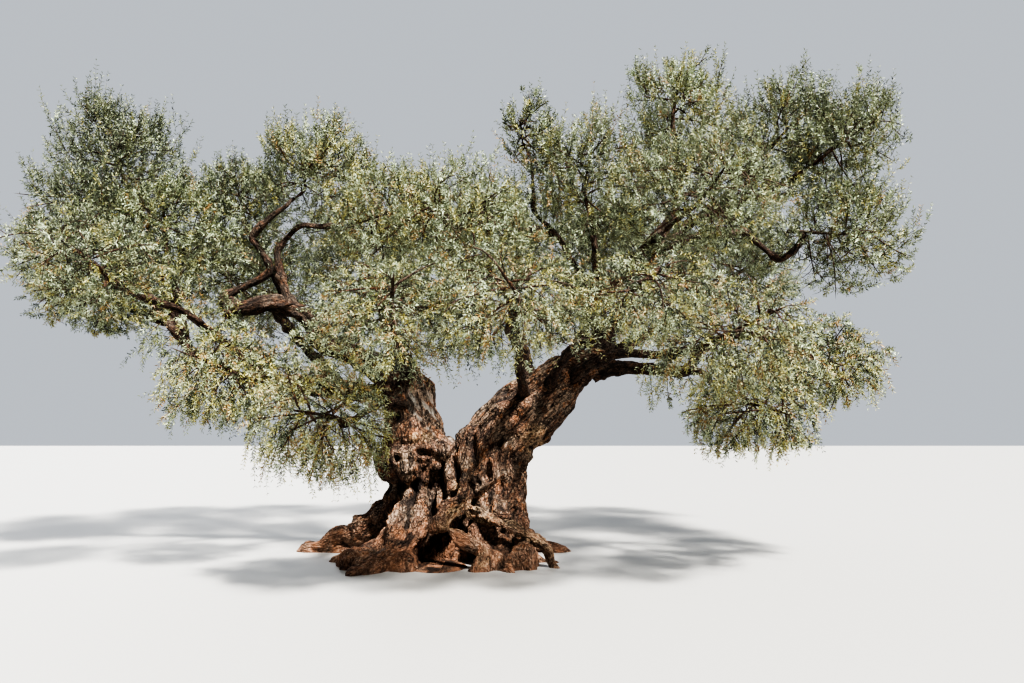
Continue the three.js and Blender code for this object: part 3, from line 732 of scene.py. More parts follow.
def olive_bark():
    """The bark's colour, roughness and normal, as a node group. Vector follows the fibres, and Scale is the
    size of the plates, larger numbers being finer. Shade darkens it all. Crease, Bare, Silver and Earth are
    masks, and Crease is painted shade in the creases."""
    group = bpy.data.node_groups.new("olive_bark", "ShaderNodeTree")
    group.interface.new_socket("Vector", in_out="INPUT", socket_type="NodeSocketVector")
    for name in ("Scale", "Shade", "Painted_crease_shade", "Bare", "Silver", "Earth"):
        group.interface.new_socket(name, in_out="INPUT", socket_type="NodeSocketFloat")
    for name, kind in (("Color", "Color"), ("Roughness", "Float"), ("Normal", "Vector")):
        group.interface.new_socket(name, in_out="OUTPUT", socket_type=f"NodeSocket{kind}")
    given = group.nodes.new("NodeGroupInput").outputs
    place = node(group, "TexCoord").outputs["Object"]
    fibres = {0: given["Vector"], 1: ALONG_FIBRE}
    drawn_out = node(group, "VectorMath", fibres, operation="MULTIPLY").outputs[0]
    sway = node(group, "TexNoise", {"Vector": drawn_out, "Scale": 11}).outputs[1]
    bending = {0: sway, 1: BARK_SWAY, 2: drawn_out}
    swayed = node(group, "VectorMath", bending, operation="MULTIPLY_ADD").outputs[0]
    cell_size = {"Vector": swayed, "Scale": times(group, given["Scale"], 26)}
    cells = node(group, "TexVoronoi", cell_size, feature="DISTANCE_TO_EDGE")
    backs = rise(group, cells.outputs["Distance"], 0, 0.16)
    speckle = noise(group, given["Vector"], times(group, given["Scale"], 38), 5, 0.72)
    lumps = noise(group, swayed, times(group, given["Scale"], 15), 3, 0.6)
    patches = noise(group, place, 3.1, 4, 0.62)
    stains = noise(group, place, 6.3, 5, 0.7)
    color = painted(group, rise(group, patches, 0.42, 0.6), BROWN, GREY)
    color = painted(group, rise(group, stains, 0.5, 0.64, 0.8), color, RUST)
    # Partly painted shade and highlight: the low places of the bump, in the lumps, the specks and the cracks
    # between the plates, are darkened, and its highest specks paled; these are also the bark's own dark
    # fissures and pale flecks.
    color = painted(group, rise(group, lumps, 0.55, 0.38, 0.85), color, DARK)
    color = painted(group, rise(group, speckle, 0.52, 0.7, 0.75), color, FLECK_AND_HIGHLIGHT)
    color = painted(group, rise(group, speckle, 0.48, 0.36, 0.9), color, DARK)
    color = painted(group, rise(group, backs, 0.6, 0, 0.7), color, DARK)
    color = painted(group, given["Shade"], color, DARK)
    color = painted(group, times(group, given["Earth"], rise(group, stains, 0.35, 0.6)), color, EARTH)
    color = painted(group, times(group, given["Bare"], rise(group, speckle, 0.4, 0.6)), color, BARE_WOOD)
    color = painted(group, times(group, given["Silver"], rise(group, lumps, 0.4, 0.56)), color, SILVER)
    # Painted shade: the crease mask darkens the folds, necks, crevices and hollow.
    color = painted(group, times(group, given["Painted_crease_shade"], 0.93), color, DARK)
    height = node(group, "Math", {0: speckle, 1: 0.9, 2: backs}, operation="MULTIPLY_ADD").outputs[0]
    height = node(group, "Math", {0: lumps, 1: 1.2, 2: height}, operation="MULTIPLY_ADD").outputs[0]
    bump = node(group, "Bump", {"Height": height, "Strength": 0.85, "Distance": 0.014})
    roughness = rise(group, speckle, 0.7, 0.3, 0.25)
    roughness = node(group, "Math", {0: roughness, 1: 0.72}, operation="ADD").outputs[0]
    given_out = group.nodes.new("NodeGroupOutput").inputs
    for name, value in (("Color", color), ("Roughness", roughness), ("Normal", bump.outputs[0])):
        group.links.new(value, given_out[name])
    return group


OLIVE_BARK = olive_bark()


def bark_material(name, scale, shade, follows_fibre=True):
    """A material whose looks come from the bark group, with the piece's own layers as its masks."""
    material = bpy.data.materials.new(name)
    material.use_nodes = True
    tree = material.node_tree
    bark = node(tree, "Group", node_tree=OLIVE_BARK)
    bark.inputs["Scale"].default_value = scale
    bark.inputs["Shade"].default_value = shade
    if follows_fibre:
        for layer, socket, output in (
            ("fibre", "Vector", "Vector"),
            *((mask, mask.capitalize(), "Fac") for mask in ("painted_crease_shade", "bare", "silver", "earth")),
        ):
            value = node(tree, "Attribute", attribute_name=layer).outputs[output]
            tree.links.new(value, bark.inputs[socket])
    else:
        tree.links.new(node(tree, "TexCoord").outputs["Object"], bark.inputs["Vector"])
    shader = tree.nodes["Principled BSDF"].inputs
    for socket, output in (("Base Color", "Color"), ("Roughness", "Roughness"), ("Normal", "Normal")):
        tree.links.new(bark.outputs[output], shader[socket])
    shader["Specular IOR Level"].default_value = 0.25
    return material


piece_of("trunk_wood", trunk_mesh, bark_material("trunk_bark", 1, 0), "bark", "trunk")

# Boughs
# Living limbs of the same grey-brown bark, each springing out of the trunk or of a larger limb with a
# swollen collar, and bent at every old pruning. The thickest on the left ends in a sawn stub.
MASSES = {  # middle and half sizes of the space that each mass of foliage fills
    "left_crest": ((-4.6, 0.5, 5.18), (0.9, 1.2, 0.85)),
    "left_tip": ((-4.66, -0.3, 4.08), (0.78, 1.05, 0.8)),
    "left_front": ((-3.65, -1.95, 3.25), (0.9, 1.05, 0.62)),
    "left_heart": ((-3.9, 0.3, 4.15), (0.85, 1.1, 0.78)),
    "left_sweep": ((-4.62, 0.2, 3.2), (1, 1.05, 0.52)),
    "left_saddle": ((-3.3, 1.3, 4.8), (0.8, 1, 0.7)),
    "left_peak": ((-1.88, 0.45, 5), (0.9, 1.15, 0.74)),
    "left_shoulder": ((-0.83, 0.05, 4.22), (0.85, 1.1, 0.78)),
    "left_skirt_outer": ((-2.44, -1.05, 2.15), (0.85, 0.9, 0.65)),
    "left_skirt": ((-1.17, -2, 1.58), (0.83, 0.9, 0.68)),
    "front_left": ((-0.38, -2.65, 2.6), (0.93, 1.05, 0.66)),
    "front_centre": ((0.7, -2.85, 2.65), (0.86, 1, 0.62)),
    "centre_crown": ((0.22, -0.8, 3.96), (0.95, 1.2, 0.76)),
    "tall_tuft": ((1, 0.1, 5.41), (0.43, 0.52, 0.64)),
    "centre_high": ((1.8, 0.05, 4.7), (0.88, 1.15, 0.93)),
    "summit": ((3.06, 0.3, 5.72), (0.76, 0.95, 0.96)),
    "right_inner": ((2.85, -1.35, 4.12), (1.15, 1.05, 0.72)),
    "right_crest": ((4.43, 0.5, 5.46), (0.9, 1.15, 0.88)),
    "right_end": ((5.15, 0.15, 5.18), (0.8, 1.05, 0.85)),
    "far_right": ((4.98, -0.3, 3.88), (0.84, 1, 0.8)),
    "front_right": ((1.95, -2.9, 2.75), (0.7, 0.9, 0.45)),
    "right_front": ((3, -2.25, 2.45), (0.9, 1, 0.66)),
    "right_skirt": ((3.38, -1.2, 1.7), (0.82, 0.85, 0.52)),
    "right_skirt_outer": ((4.4, -0.6, 2.3), (0.82, 0.95, 0.65)),
    "back_left": ((-3.7, 2.7, 3.9), (1.25, 1.3, 0.84)),
    "back_mid_left": ((-1.75, 2.95, 4.3), (1.2, 1.4, 0.94)),
    "back_mid_right": ((2.35, 2.95, 4.4), (1.25, 1.4, 0.96)),
    "back_centre": ((0.3, 3, 4.5), (1.2, 1.45, 0.96)),
    "back_right": ((4.35, 2.5, 4), (1.25, 1.3, 0.86)),
}
# The places that a bough passes, or the limb that it springs from, at what share of that limb's length, and
# how far its middle arches up. Then its radii at foot and tip.
BOUGHS = {
    "left_main": {
        "via": [
            (-0.64, 0.02, 2.15), (-1.12, 0, 2.42), (-1.64, 0, 2.64), (-1.9, 0, 3), (-2.33, 0, 3.14),
            (-2.9, 0, 3.02),
        ],
        "radii": (0.175, 0.095),
    },
    "left_peak": {
        "via": [(-2.76, 0, 3.06), (-2.94, 0.02, 3.2), (-2.36, 0, 3.56), (-2.6, 0, 4), (-2.17, 0.03, 4.44)],
        "radii": (0.076, 0.028),
    },
    "left_shoulder": {
        "via": [(-2.08, 0, 3.08), (-2.24, 0.08, 3.5), (-2.3, 0.11, 3.84), (-2.01, 0.12, 4.19)],
        "radii": (0.07, 0.027),
    },
    "left_sweep": {
        "via": [
            (-0.56, 0.1, 1.96), (-1.9, 0.38, 2.08), (-2.95, 0.35, 2.26), (-3.47, 0.3, 2.56),
            (-3.64, 0.28, 2.9),
        ],
        "radii": (0.15, 0.05),
    },
    "summit": {
        "via": [
            (1.76, 0, 2.3), (1.93, 0, 2.66), (1.8, 0, 3.18), (2.18, 0, 3.52), (2.62, 0, 3.82),
            (2.9, 0.12, 4.4),
        ],
        "radii": (0.165, 0.05),
    },
    "far_right": {
        "via": [
            (2.5, 0, 3.74), (3.16, -0.05, 4.01), (3.76, -0.05, 4.05), (4.2, -0.05, 3.7),
            (4.52, -0.08, 4.02),
        ],
        "radii": (0.062, 0.034),
    },
    "right_skirt_outer": {
        "via": [
            (1.8, -0.06, 2.3), (2.28, -0.35, 2.29), (2.88, -0.45, 2.26), (3.35, -0.48, 2.66),
            (3.8, -0.48, 2.7),
        ],
        "radii": (0.11, 0.036),
    },
    "tall_tuft": {
        "via": [(1.8, 0, 3.14), (1.65, 0, 3.52), (1.38, 0, 3.98), (1.06, 0.03, 4.34)],
        "radii": (0.045, 0.02),
    },
    "left_saddle": {"from": "left_main", "share": 0.68, "arch": 0.06, "radii": (0.07, 0.036)},
    "left_heart": {"from": "left_sweep", "share": 0.83, "arch": 0.03, "radii": (0.062, 0.042)},
    "left_crest": {"from": "left_sweep", "share": 0.86, "arch": -0.06, "radii": (0.062, 0.038)},
    "left_tip": {"from": "left_sweep", "share": 0.78, "arch": 0.04, "radii": (0.058, 0.036)},
    "left_front": {"from": "left_sweep", "share": 0.48, "arch": 0.12, "radii": (0.07, 0.038)},
    "left_skirt_outer": {"from": "left_sweep", "share": 0.2, "arch": 0.09, "radii": (0.07, 0.04)},
    "left_skirt": {"from": "left_arm", "share": 0.76, "arch": 0.16, "radii": (0.085, 0.04)},
    "front_left": {"from": "left_arm", "share": 0.9, "arch": 0.12, "radii": (0.095, 0.045)},
    "back_left": {"from": "left_sweep", "share": 0.24, "arch": 0.08, "radii": (0.095, 0.05)},
    "back_mid_left": {"from": "left_arm", "share": 0.93, "arch": 0.06, "radii": (0.105, 0.05)},
    "centre_crown": {"from": "tall_tuft", "share": 0.5, "arch": 0.04, "radii": (0.032, 0.022)},
    "centre_high": {"from": "summit", "share": 0.22, "arch": -0.06, "radii": (0.062, 0.036)},
    "right_inner": {"from": "summit", "share": 0.44, "arch": 0.04, "radii": (0.066, 0.04)},
    "right_crest": {"from": "summit", "share": 0.6, "arch": -0.06, "radii": (0.064, 0.04)},
    "right_end": {"from": "right_crest", "share": 0.4, "arch": -0.05, "radii": (0.05, 0.036)},
    "right_skirt": {"from": "right_skirt_outer", "share": 0.48, "arch": 0.09, "radii": (0.05, 0.032)},
    "right_front": {"from": "right_arm", "share": 0.8, "arch": 0.16, "radii": (0.095, 0.042)},
    "front_right": {"from": "right_arm", "share": 0.72, "arch": 0.15, "radii": (0.08, 0.038)},
    "front_centre": {"from": "right_arm", "share": 0.64, "arch": 0.16, "radii": (0.09, 0.042)},
    "back_centre": {"from": "right_arm", "share": 0.7, "arch": 0.06, "radii": (0.11, 0.05)},
    "back_mid_right": {"from": "right_arm", "share": 0.84, "arch": 0.04, "radii": (0.11, 0.05)},
    "back_right": {"from": "right_arm", "share": 0.92, "arch": -0.04, "radii": (0.098, 0.048)},
}
ENTRY_SHARE = 0.72
WANDER = 0.16
LINE_PLACES = 160


def number_stream(seed):
    """Repeatable numbers from 0 to 1: each state is the last times 1664525 plus 1013904223, modulo 2^32."""
    state = seed * 2654435761 % 2**32
    while True:
        state = (state * 1664525 + 1013904223) % 2**32
        yield state / 2**32


def bough_route(name, bough, lines):
    """The places a bough passes. The last is where it enters its mass, at ENTRY_SHARE of the way out from
    the middle to the skin, on the side that it comes from."""
    route = [np.array(place, float) for place in bough.get("via", [])]
    route = route or [spot(lines[bough["from"]], bough["share"])]
    if name not in MASSES:
        return route
    middle, size = (np.array(part) for part in MASSES[name])
    offset = route[-1] - middle
    tip = middle + offset * ENTRY_SHARE / np.linalg.norm(offset / size)
    if "via" in bough:
        return [*route, tip]
    return [route[0], (route[0] + tip) / 2 + (0, 0, bough["arch"]), tip]


def wandering(route, seed):
    """The route with a kink between each two places after the first, off to one side by up to half of
    WANDER times the distance."""
    numbers = number_stream(seed)
    bent = [route[0]]
    for index in range(1, len(route)):
        bent.append(route[index])
        if index + 1 < len(route):
            kink = np.array([next(numbers) - 0.5 for _ in range(3)])
            step = route[index + 1] - route[index]
            bent.append(route[index] + step / 2 + kink * np.linalg.norm(step) * WANDER)
    return smooth_line(bent, LINE_PLACES)


lines = {f"{side}_arm": smooth_line(arm["middle"], LINE_PLACES) for side, arm in ARMS.items()}
for index, (name, bough) in enumerate(BOUGHS.items()):
    lines[name] = wandering(bough_route(name, bough, lines), index + 7)


def with_poles(values):
    """Values on rings and sides in the order of a tube's places: the first pole, the rings, the last pole."""
    return np.concatenate([values[0, :1], values.reshape(-1, *values.shape[2:]), values[-1, -1:]])


# Sizes of a bough's faces, the fall of its radius, its slow swelling, and its collar's swelling and length.
# Then the turn of its bark in radians to the metre, and the radii and places of the rings of its saw cut.
FACE_LENGTH, FACE_WIDTH = 0.026, 0.019
FALL, SWELL, SWELL_PACE = 0.45, 0.1, 17
COLLAR, COLLAR_LENGTH = 0.45, 0.16
BARK_TURN = 1.4
CUT_RADII, CUT_PLACES = np.array([0.97, 0.7, 0.36]), np.array([[0.003], [0.008], [0.011]])
# The size of the flutes against the trunk's, the radius at which the relief is full, its shares on the
# thinnest and thickest boughs, and the width, onset and height of the small burls
BOUGH_RELIEF = 0.42
FULL_RELIEF_AT, RELIEF_SHARES = 0.12, (0.25, 1.2)
BURL_WIDTH, BURL_FROM, BURL_HEIGHT = 0.15, 0.3, 1.1


def bough_skin(name, bough, index):
    """The mesh of a bough: a tube round its line. Its radius falls from foot to tip as share^FALL, swells by
    a slow sine and at the collar by an exponential, and rises and falls with flutes, bark and a few burls. A
    bough that carries no mass is closed by a few smaller rings, the face of the saw cut."""
    line = lines[name]
    length = length_of(line)
    foot, tip = bough["radii"]
    rings = max(24, round(length / FACE_LENGTH))
    sides = int(np.clip(2 * np.pi * foot / FACE_WIDTH, 14, 52))
    share = np.linspace(0, 1, rings)
    radius = foot + (tip - foot) * share**FALL
    radius *= 1 + SWELL * np.sin(share * SWELL_PACE + index)
    collar = 1 + COLLAR * np.exp(-share * length / COLLAR_LENGTH)
    angle = np.arange(sides) * 2 * np.pi / sides
    twist = angle + BARK_TURN * share[:, None] * length
    across = radius[:, None] * np.stack([np.cos(twist), np.sin(twist)])
    local = np.stack([*across, np.broadcast_to(share[:, None] * length, across[0].shape)], -1)
    slender = np.clip(radius / FULL_RELIEF_AT, *RELIEF_SHARES)[:, None]
    folds = flutes(local / BOUGH_RELIEF, index * 3 + 40) * BOUGH_RELIEF * slender
    bark = bark_relief(local, index * 3 + 40, 0.6) * slender
    burls = np.maximum(grain(local / BURL_WIDTH, index + 60) - BURL_FROM, 0) * radius[:, None] * BURL_HEIGHT
    skin = (radius * collar)[:, None] + folds + bark + burls
    path, bare = spot(line, share), np.zeros((rings, sides))
    if name not in MASSES:
        path = np.vstack([path, path[-1] + heading(line, 1) * CUT_PLACES])
        skin = np.vstack([skin, CUT_RADII[:, None] * skin[-1]])
        local = np.concatenate([local, local[-1] * (CUT_RADII[:, None, None] * [1, 1, 0] + [0, 0, 1])])
        folds, bark = (np.vstack([part, np.full((3, sides), 0.01)]) for part in (folds, bark))
        bare = np.vstack([bare, np.ones((3, sides))])
    mesh = mesh_of(f"{name}_bough_bark", *tubes(capped(path), skin[None], sides))
    add_layer(mesh, "fibre", with_poles(local) + index * 2.3)
    # Painted shade: the bough's folds and bark cracks are darkened by their depth.
    add_layer(mesh, "painted_crease_shade", with_poles(np.clip(-(folds + bark * 1.6) / (0.016 * slender.max()), 0, 1)))
    add_layer(mesh, "bare", with_poles(bare))
    return mesh


bough_material = bark_material("bough_bark", 1.7, 0.58)
for index, (name, bough) in enumerate(BOUGHS.items()):
    piece_of(f"{name}_bough_bark", bough_skin(name, bough, index), bough_material, "bark", f"{name}_bough")


# Twigs
# Each mass grows on from the tip of its bough, of the same wood, finer at every fork. A stem runs to the far
# side of its space, and twigs leave it by the golden angle and run to the skin. Branchlets leave the twigs,
# and leafy shoots the branchlets. Sprays of the same shoots stand on the boughs themselves.
TURN = np.pi * (3 - np.sqrt(5))
TWIGS_PER_MASS = 8
TIP_GAP = 0.0004
BEND_JITTER, CROWN_JITTER = 0.14, 0.12
STEM_AHEAD, BEND_BACK, BEND_RISE, AXIS_RISE = 0.22, 0.2, 0.06, 0.35
CROWN_REACH, TWIG_REACH, SHORT_TWIG_REACH = 0.8, 0.93, 0.8
# Where the twigs leave the stem, and where their aims lie on the ball, from the first to the last
ROOT_FIRST, ROOT_SPAN, AIM_FIRST, AIM_SPAN = 0.85, 0.59, 0.9, 1.75
SHORT_TWIG_TURN = 4.5
UP = np.array([0, 0, 1.0])


def bent_paths(start, control, end, rings):
    """Many quadratic curves, start (1-u)^2 + 2 control u (1-u) + end u^2, as (curves, rings, 3)."""
    u = np.linspace(0, 1, rings)[:, None]
    start, control, end = start[:, None], control[:, None], end[:, None]
    return start * (1 - u) ** 2 + 2 * control * u * (1 - u) + end * u**2


def depth_in(places, mass):
    """0 at the middle of a mass and 1 at its skin."""
    middle, size = MASSES[mass]
    return np.linalg.norm((places - np.array(middle)) / np.array(size), axis=-1)


def main_twigs(name, index):
    """The stem, and the roots and ends of the twigs, of a mass. The stem runs on from the bough, bends near
    the middle and ends CROWN_REACH of the way to the skin. The twigs leave it from the top down, their aims
    on a ball a golden angle apart, with a shorter twig between each two."""
    line = lines[name]
    middle, size = (np.array(part) for part in MASSES[name])
    numbers = number_stream(index * 31 + 5)
    jitter = lambda amount: (next(numbers) - 0.5) * 2 * amount
    reach = size.mean()
    ahead = heading(line, 1)
    start = line[-1] + ahead * TIP_GAP
    bend = middle + (start - middle) * BEND_BACK
    bend = bend + np.array([jitter(BEND_JITTER), jitter(BEND_JITTER), BEND_RISE])
    axis = unit(unit(middle - start) + AXIS_RISE * UP)
    crown = bend + (middle + axis * size - bend) * CROWN_REACH
    crown = crown + np.array([jitter(CROWN_JITTER), jitter(CROWN_JITTER), 0])
    stem = smooth_line([start, start + ahead * reach * STEM_AHEAD, bend, crown], 60)
    sideways = unit(np.cross(axis, (0.1, 0.2, 1)))
    upward = np.cross(sideways, axis)
    step = np.arange(0, TWIGS_PER_MASS, 0.5)
    order = (step + 0.5) / TWIGS_PER_MASS
    lift = AIM_FIRST - AIM_SPAN * order
    ring = np.sqrt(np.maximum(1 - lift**2, 0))
    turn = step * TURN + index + (step % 1) * SHORT_TWIG_TURN
    aim = axis * lift[:, None] + sideways * (ring * np.cos(turn))[:, None]
    aim = aim + upward * (ring * np.sin(turn))[:, None]
    root = spot(stem, ROOT_FIRST - ROOT_SPAN * order)
    return stem, root, middle + aim * size * np.where(step % 1, SHORT_TWIG_REACH, TWIG_REACH)[:, None]


def sprout(parents, thickness, per_parent, near_share, far_share, angle, length, lift, rings, random):
    """Shoots from every parent path. Each leaves at its own share of the parent, leans away from it by an
    angle, a golden angle round from the one before, and curves towards the lift."""
    count = len(parents)
    order = np.arange(per_parent) + random.random((count, per_parent))
    share = near_share + (far_share - near_share) * order / per_parent
    place = share * (parents.shape[1] - 1)
    low = np.minimum(place.astype(int), parents.shape[1] - 2)
    part = (place - low)[..., None]
    pick = np.arange(count)[:, None]
    a, b = parents[pick, low], parents[pick, low + 1]
    root = a + (b - a) * part
    onward = unit(b - a)
    side = unit(np.cross(onward, unit(random.normal(size=(count, 1, 3))) + 0.01))
    other = np.cross(onward, side)
    turn = (np.arange(per_parent) * TURN + random.random((count, 1)) * 7)[..., None]
    lean = np.radians(angle) * (0.75 + 0.5 * random.random((count, per_parent, 1)))
    way = np.cos(lean) * onward + np.sin(lean) * (np.cos(turn) * side + np.sin(turn) * other)
    reach = (length * (0.65 + 0.7 * random.random((count, per_parent))))[..., None]
    control = root + way * reach * 0.5
    end = root + unit(way + lift) * reach
    paths = bent_paths(*(part.reshape(-1, 3) for part in (root, control, end)), rings)
    return paths, thickness[pick, low].reshape(-1)


REACH_LOW, REACH_HIGH = np.array(cad_box[0]) + 0.05, np.array(cad_box[1]) - 0.05
SHRINK_STEPS = (0.4, 0.55, 0.7, 0.85, 1.0)


def fitted(paths, inside):
    """Each path shrunk towards its root to the longest of the steps whose tip is inside its space and the
    tree's reach. A path that none of them suits is dropped, so the kept ones are told as well."""
    root = paths[:, :1]
    scale = np.zeros(len(paths))
    for share in SHRINK_STEPS:
        tip = root[:, 0] + (paths[:, -1] - root[:, 0]) * share
        scale[inside(tip) & ((tip > REACH_LOW) & (tip < REACH_HIGH)).all(1)] = share
    kept = scale > 0
    return (root + (paths - root) * scale[:, None, None])[kept], kept


def taper(base, tip, rings):
    """Radii that fall evenly from each base to the same tip."""
    share = np.linspace(0, 1, rings)
    return base[:, None] * (1 - share) + tip * share


BRANCHLETS_PER_TWIG, SHOOTS_PER_BRANCHLET = 11, 4
RINGS, LIMB_RINGS = 5, 12
TWIG_RADII, BRANCHLET_RADII, SHOOT_RADII = (0.014, 0.004), (0.007, 0.0025), (0.0028, 0.0014)
STEM_FOOT, STEM_FALL = 0.9, 0.8
# Branchlets are as long as this share of the mean half size of their mass, and shoots as this length. A mass
# of the full size has the full counts. The first branchlet or shoot leaves at this share of its parent.
BRANCHLET_LENGTH, SHOOT_LENGTH, FULL_SIZE = 0.55, 0.31, 0.9
BRANCHLET_ANGLE, SHOOT_ANGLE, FIRST_AT = 52, 42, 0.15
BOW, BOW_UP = 0.09, 0.06
# The skin of a mass: where it begins, widths and depths of its lobes, its roughness, and what tall branchlets
# and leaders may stand out of it. The outer part of a mass begins at OUTER.
SKIN, LOBES, ROUGHNESS = 0.88, ((0.38, 0.2), (0.8, 0.14)), 0.14
TALL_EXTRA, LEADER_EXTRA, OUTER = 0.22, 0.2, 0.62
# Leaves near the front are this much smaller, between these places on the Y axis, and shoots there are more
FRONT_LEAF, FRONT_RANGE = 0.76, (-2.6, -0.8)
# Share of the outer shoots that run on far past the rest, how much longer they are, and how much darker
LEADER_SHARE, LEADER_RATIO, LEADER_DARKNESS = 0.4, 1.6, 1.7
# The same for branchlets, and how far both bend upwards, or down on a weeping mass
TALL_SHARE, TALL_RATIO, PULL = 0.16, 1.5, 0.22
# The height below which masses weep, how soon, and the least and greatest lift of their shoots
WEEPING_BELOW, LIFT_SPAN, LIFT_RANGE = 3, 2.2, (-0.45, 0.7)
# The height below which shoots turn yellow and ochre, with their share, and the part of the tints that those
# have. The rest take their own tint by a share, or that of their branchlet.
WARM_BELOW, WARM_SHARE, WARM_TINTS = 3.8, 0.55, 0.17
OWN_TINT = 0.6
SKY_GAPS = [  # middle and half sizes of the spaces left open to the sky
    ((4.42, 0, 3.5), (0.36, 3, 0.34)),
    ((-0.35, -2, 1.5), (0.2, 1.2, 0.75)),
]
limb_rows, branchlet_rows, shoot_rows, tint_rows = [], [], [], []
# Painted light and shade: the leaves of the masses below 1 are painted paler, as lit, and those above 1
# darker, as shaded.
PAINTED_LIGHT_AND_SHADE = {  # the masses whose leaves are paler (below 1) or darker (above 1) than the rest
    "left_shoulder": 0.36, "centre_crown": 0.44, "summit": 0.42, "centre_high": 0.46, "left_heart": 0.7,
    "left_peak": 0.7, "right_inner": 0.75, "left_crest": 2.8, "left_tip": 2.8, "left_sweep": 2.4,
    "left_saddle": 1.8, "right_front": 1.7, "left_front": 1.6, "front_left": 1.7, "front_centre": 1.4,
    "front_right": 1.5, "left_skirt": 1.9, "left_skirt_outer": 1.7, "right_skirt": 1.6,
    "right_skirt_outer": 1.6,
}


def stretched(paths, chosen, ratio, pull):
    """The paths, the chosen ones longer by a ratio and bent by the pull times the share of the length
    squared."""
    bend = chosen[:, None, None] * pull * np.linspace(0, 1, paths.shape[1])[:, None] ** 2
    root = paths[:, :1]
    return root + (paths - root + bend) * np.where(chosen, ratio, 1)[:, None, None]


def way_up(lift):
    """Straight up, or straight down where the lift points down, PULL long."""
    return UP * np.sign(lift[2] + 0.01) * PULL


def add_shoots(branchlets, base, per_branchlet, lift, inside, outer, random, painted_light_and_shade=1.0):
    """Leafy shoots on branchlets. Inside tells, from tips and the branchlet of each, which are in the space.
    Some of the outer ones are leaders, which run on far past the rest, upwards, or down on a weeping mass. A
    shoot takes its tint from its branchlet or its own draw, and low ones more often a yellow or an ochre."""
    growth = (per_branchlet, FIRST_AT, 1, SHOOT_ANGLE, SHOOT_LENGTH, lift, RINGS, random)
    shoots, _ = sprout(branchlets, base, *growth)
    owner = np.repeat(np.arange(len(branchlets)), per_branchlet)
    leader = (random.random(len(shoots)) < LEADER_SHARE) & outer(shoots[:, 0])
    shoots = stretched(shoots, leader, LEADER_RATIO, way_up(lift))
    shoots, kept = fitted(shoots, lambda tips: inside(tips, owner, leader))
    owner = owner[kept]
    open_sky = np.zeros(len(shoots), bool)
    for middle, size in SKY_GAPS:
        open_sky |= np.linalg.norm((shoots[:, 2] - middle) / np.array(size), axis=1) < 1
    shoots, owner, leader = shoots[~open_sky], owner[~open_sky], leader[kept][~open_sky]
    draw = random.random((4, len(shoots)))
    # Painted light and shade: a mass's power below 1 paints its leaves paler, as lit, and one above 1 darker,
    # as shaded.
    tint = np.where(draw[0] < OWN_TINT, draw[1], random.random(len(branchlets))[owner]) ** painted_light_and_shade
    tint = tint ** np.where(leader, LEADER_DARKNESS, 1)
    low = np.clip((WARM_BELOW - shoots[:, 0, 2]) / 2, 0, 1)
    tint_rows.append(np.where(draw[2] < WARM_SHARE * low, 1 - WARM_TINTS * draw[3] ** 1.3, tint))
    shoot_rows.append(shoots)


for index, name in enumerate(BOUGHS):
    if name not in MASSES:
        continue
    random = np.random.default_rng(index * 17 + 3)
    middle, size = (np.array(part) for part in MASSES[name])
    fullness = size.mean() / FULL_SIZE
    lift = UP * np.clip((middle[2] - WEEPING_BELOW) / LIFT_SPAN, *LIFT_RANGE)
    stem, root, end = main_twigs(name, index)
    stem_radii = BOUGHS[name]["radii"][1] * STEM_FOOT * (1 - STEM_FALL * np.linspace(0, 1, LIMB_RINGS))
    bow = random.normal(0, BOW, root.shape) + (0, 0, BOW_UP)
    twigs = bent_paths(root, (root + end) / 2 + bow, end, LIMB_RINGS)
    twig_radii = taper(np.full(len(root), TWIG_RADII[0]), TWIG_RADII[1], LIMB_RINGS)
    parents = np.concatenate([twigs, spot(stem, np.linspace(0.25, 1, LIMB_RINGS))[None]])
    thick = np.concatenate([twig_radii, stem_radii[None]])
    limb_rows += [(spot(stem, np.linspace(0, 1, LIMB_RINGS))[None], stem_radii[None]), (twigs, twig_radii)]
    per_twig = round(BRANCHLETS_PER_TWIG * fullness)
    length = BRANCHLET_LENGTH * size.mean()
    growth = (per_twig, FIRST_AT, 1, BRANCHLET_ANGLE, length, lift, RINGS, random)
    paths, base = sprout(parents, thick, *growth)
    outer = lambda roots: (depth_in(roots, name) > OUTER) & ((roots[:, 2] - middle[2]) * (lift[2] + 0.01) > 0)
    tall = (random.random(len(paths)) < TALL_SHARE) & outer(paths[:, 0])
    paths = stretched(paths, tall, TALL_RATIO, way_up(lift))
    lobes = sum(
        depth * grain(paths[:, -1] / width, index + 3 * step)
        for step, (width, depth) in enumerate(LOBES)
    )
    limit = SKIN + lobes + ROUGHNESS * random.random(len(paths)) + TALL_EXTRA * tall
    paths, kept = fitted(paths, lambda tips: depth_in(tips, name) < limit - 0.08)
    base, limit = taper(np.minimum(base[kept], BRANCHLET_RADII[0]), BRANCHLET_RADII[1], RINGS), limit[kept]
    branchlet_rows.append((paths, base))
    at_front = np.interp(middle[1], FRONT_RANGE, (FRONT_LEAF, 1))
    per_branchlet = max(2, round(SHOOTS_PER_BRANCHLET * fullness / at_front**1.4))
    in_space = lambda tips, owner, leader: depth_in(tips, name) < limit[owner] + LEADER_EXTRA * leader
    add_shoots(paths, base, per_branchlet, lift, in_space, outer, random, PAINTED_LIGHT_AND_SHADE.get(name, 1))

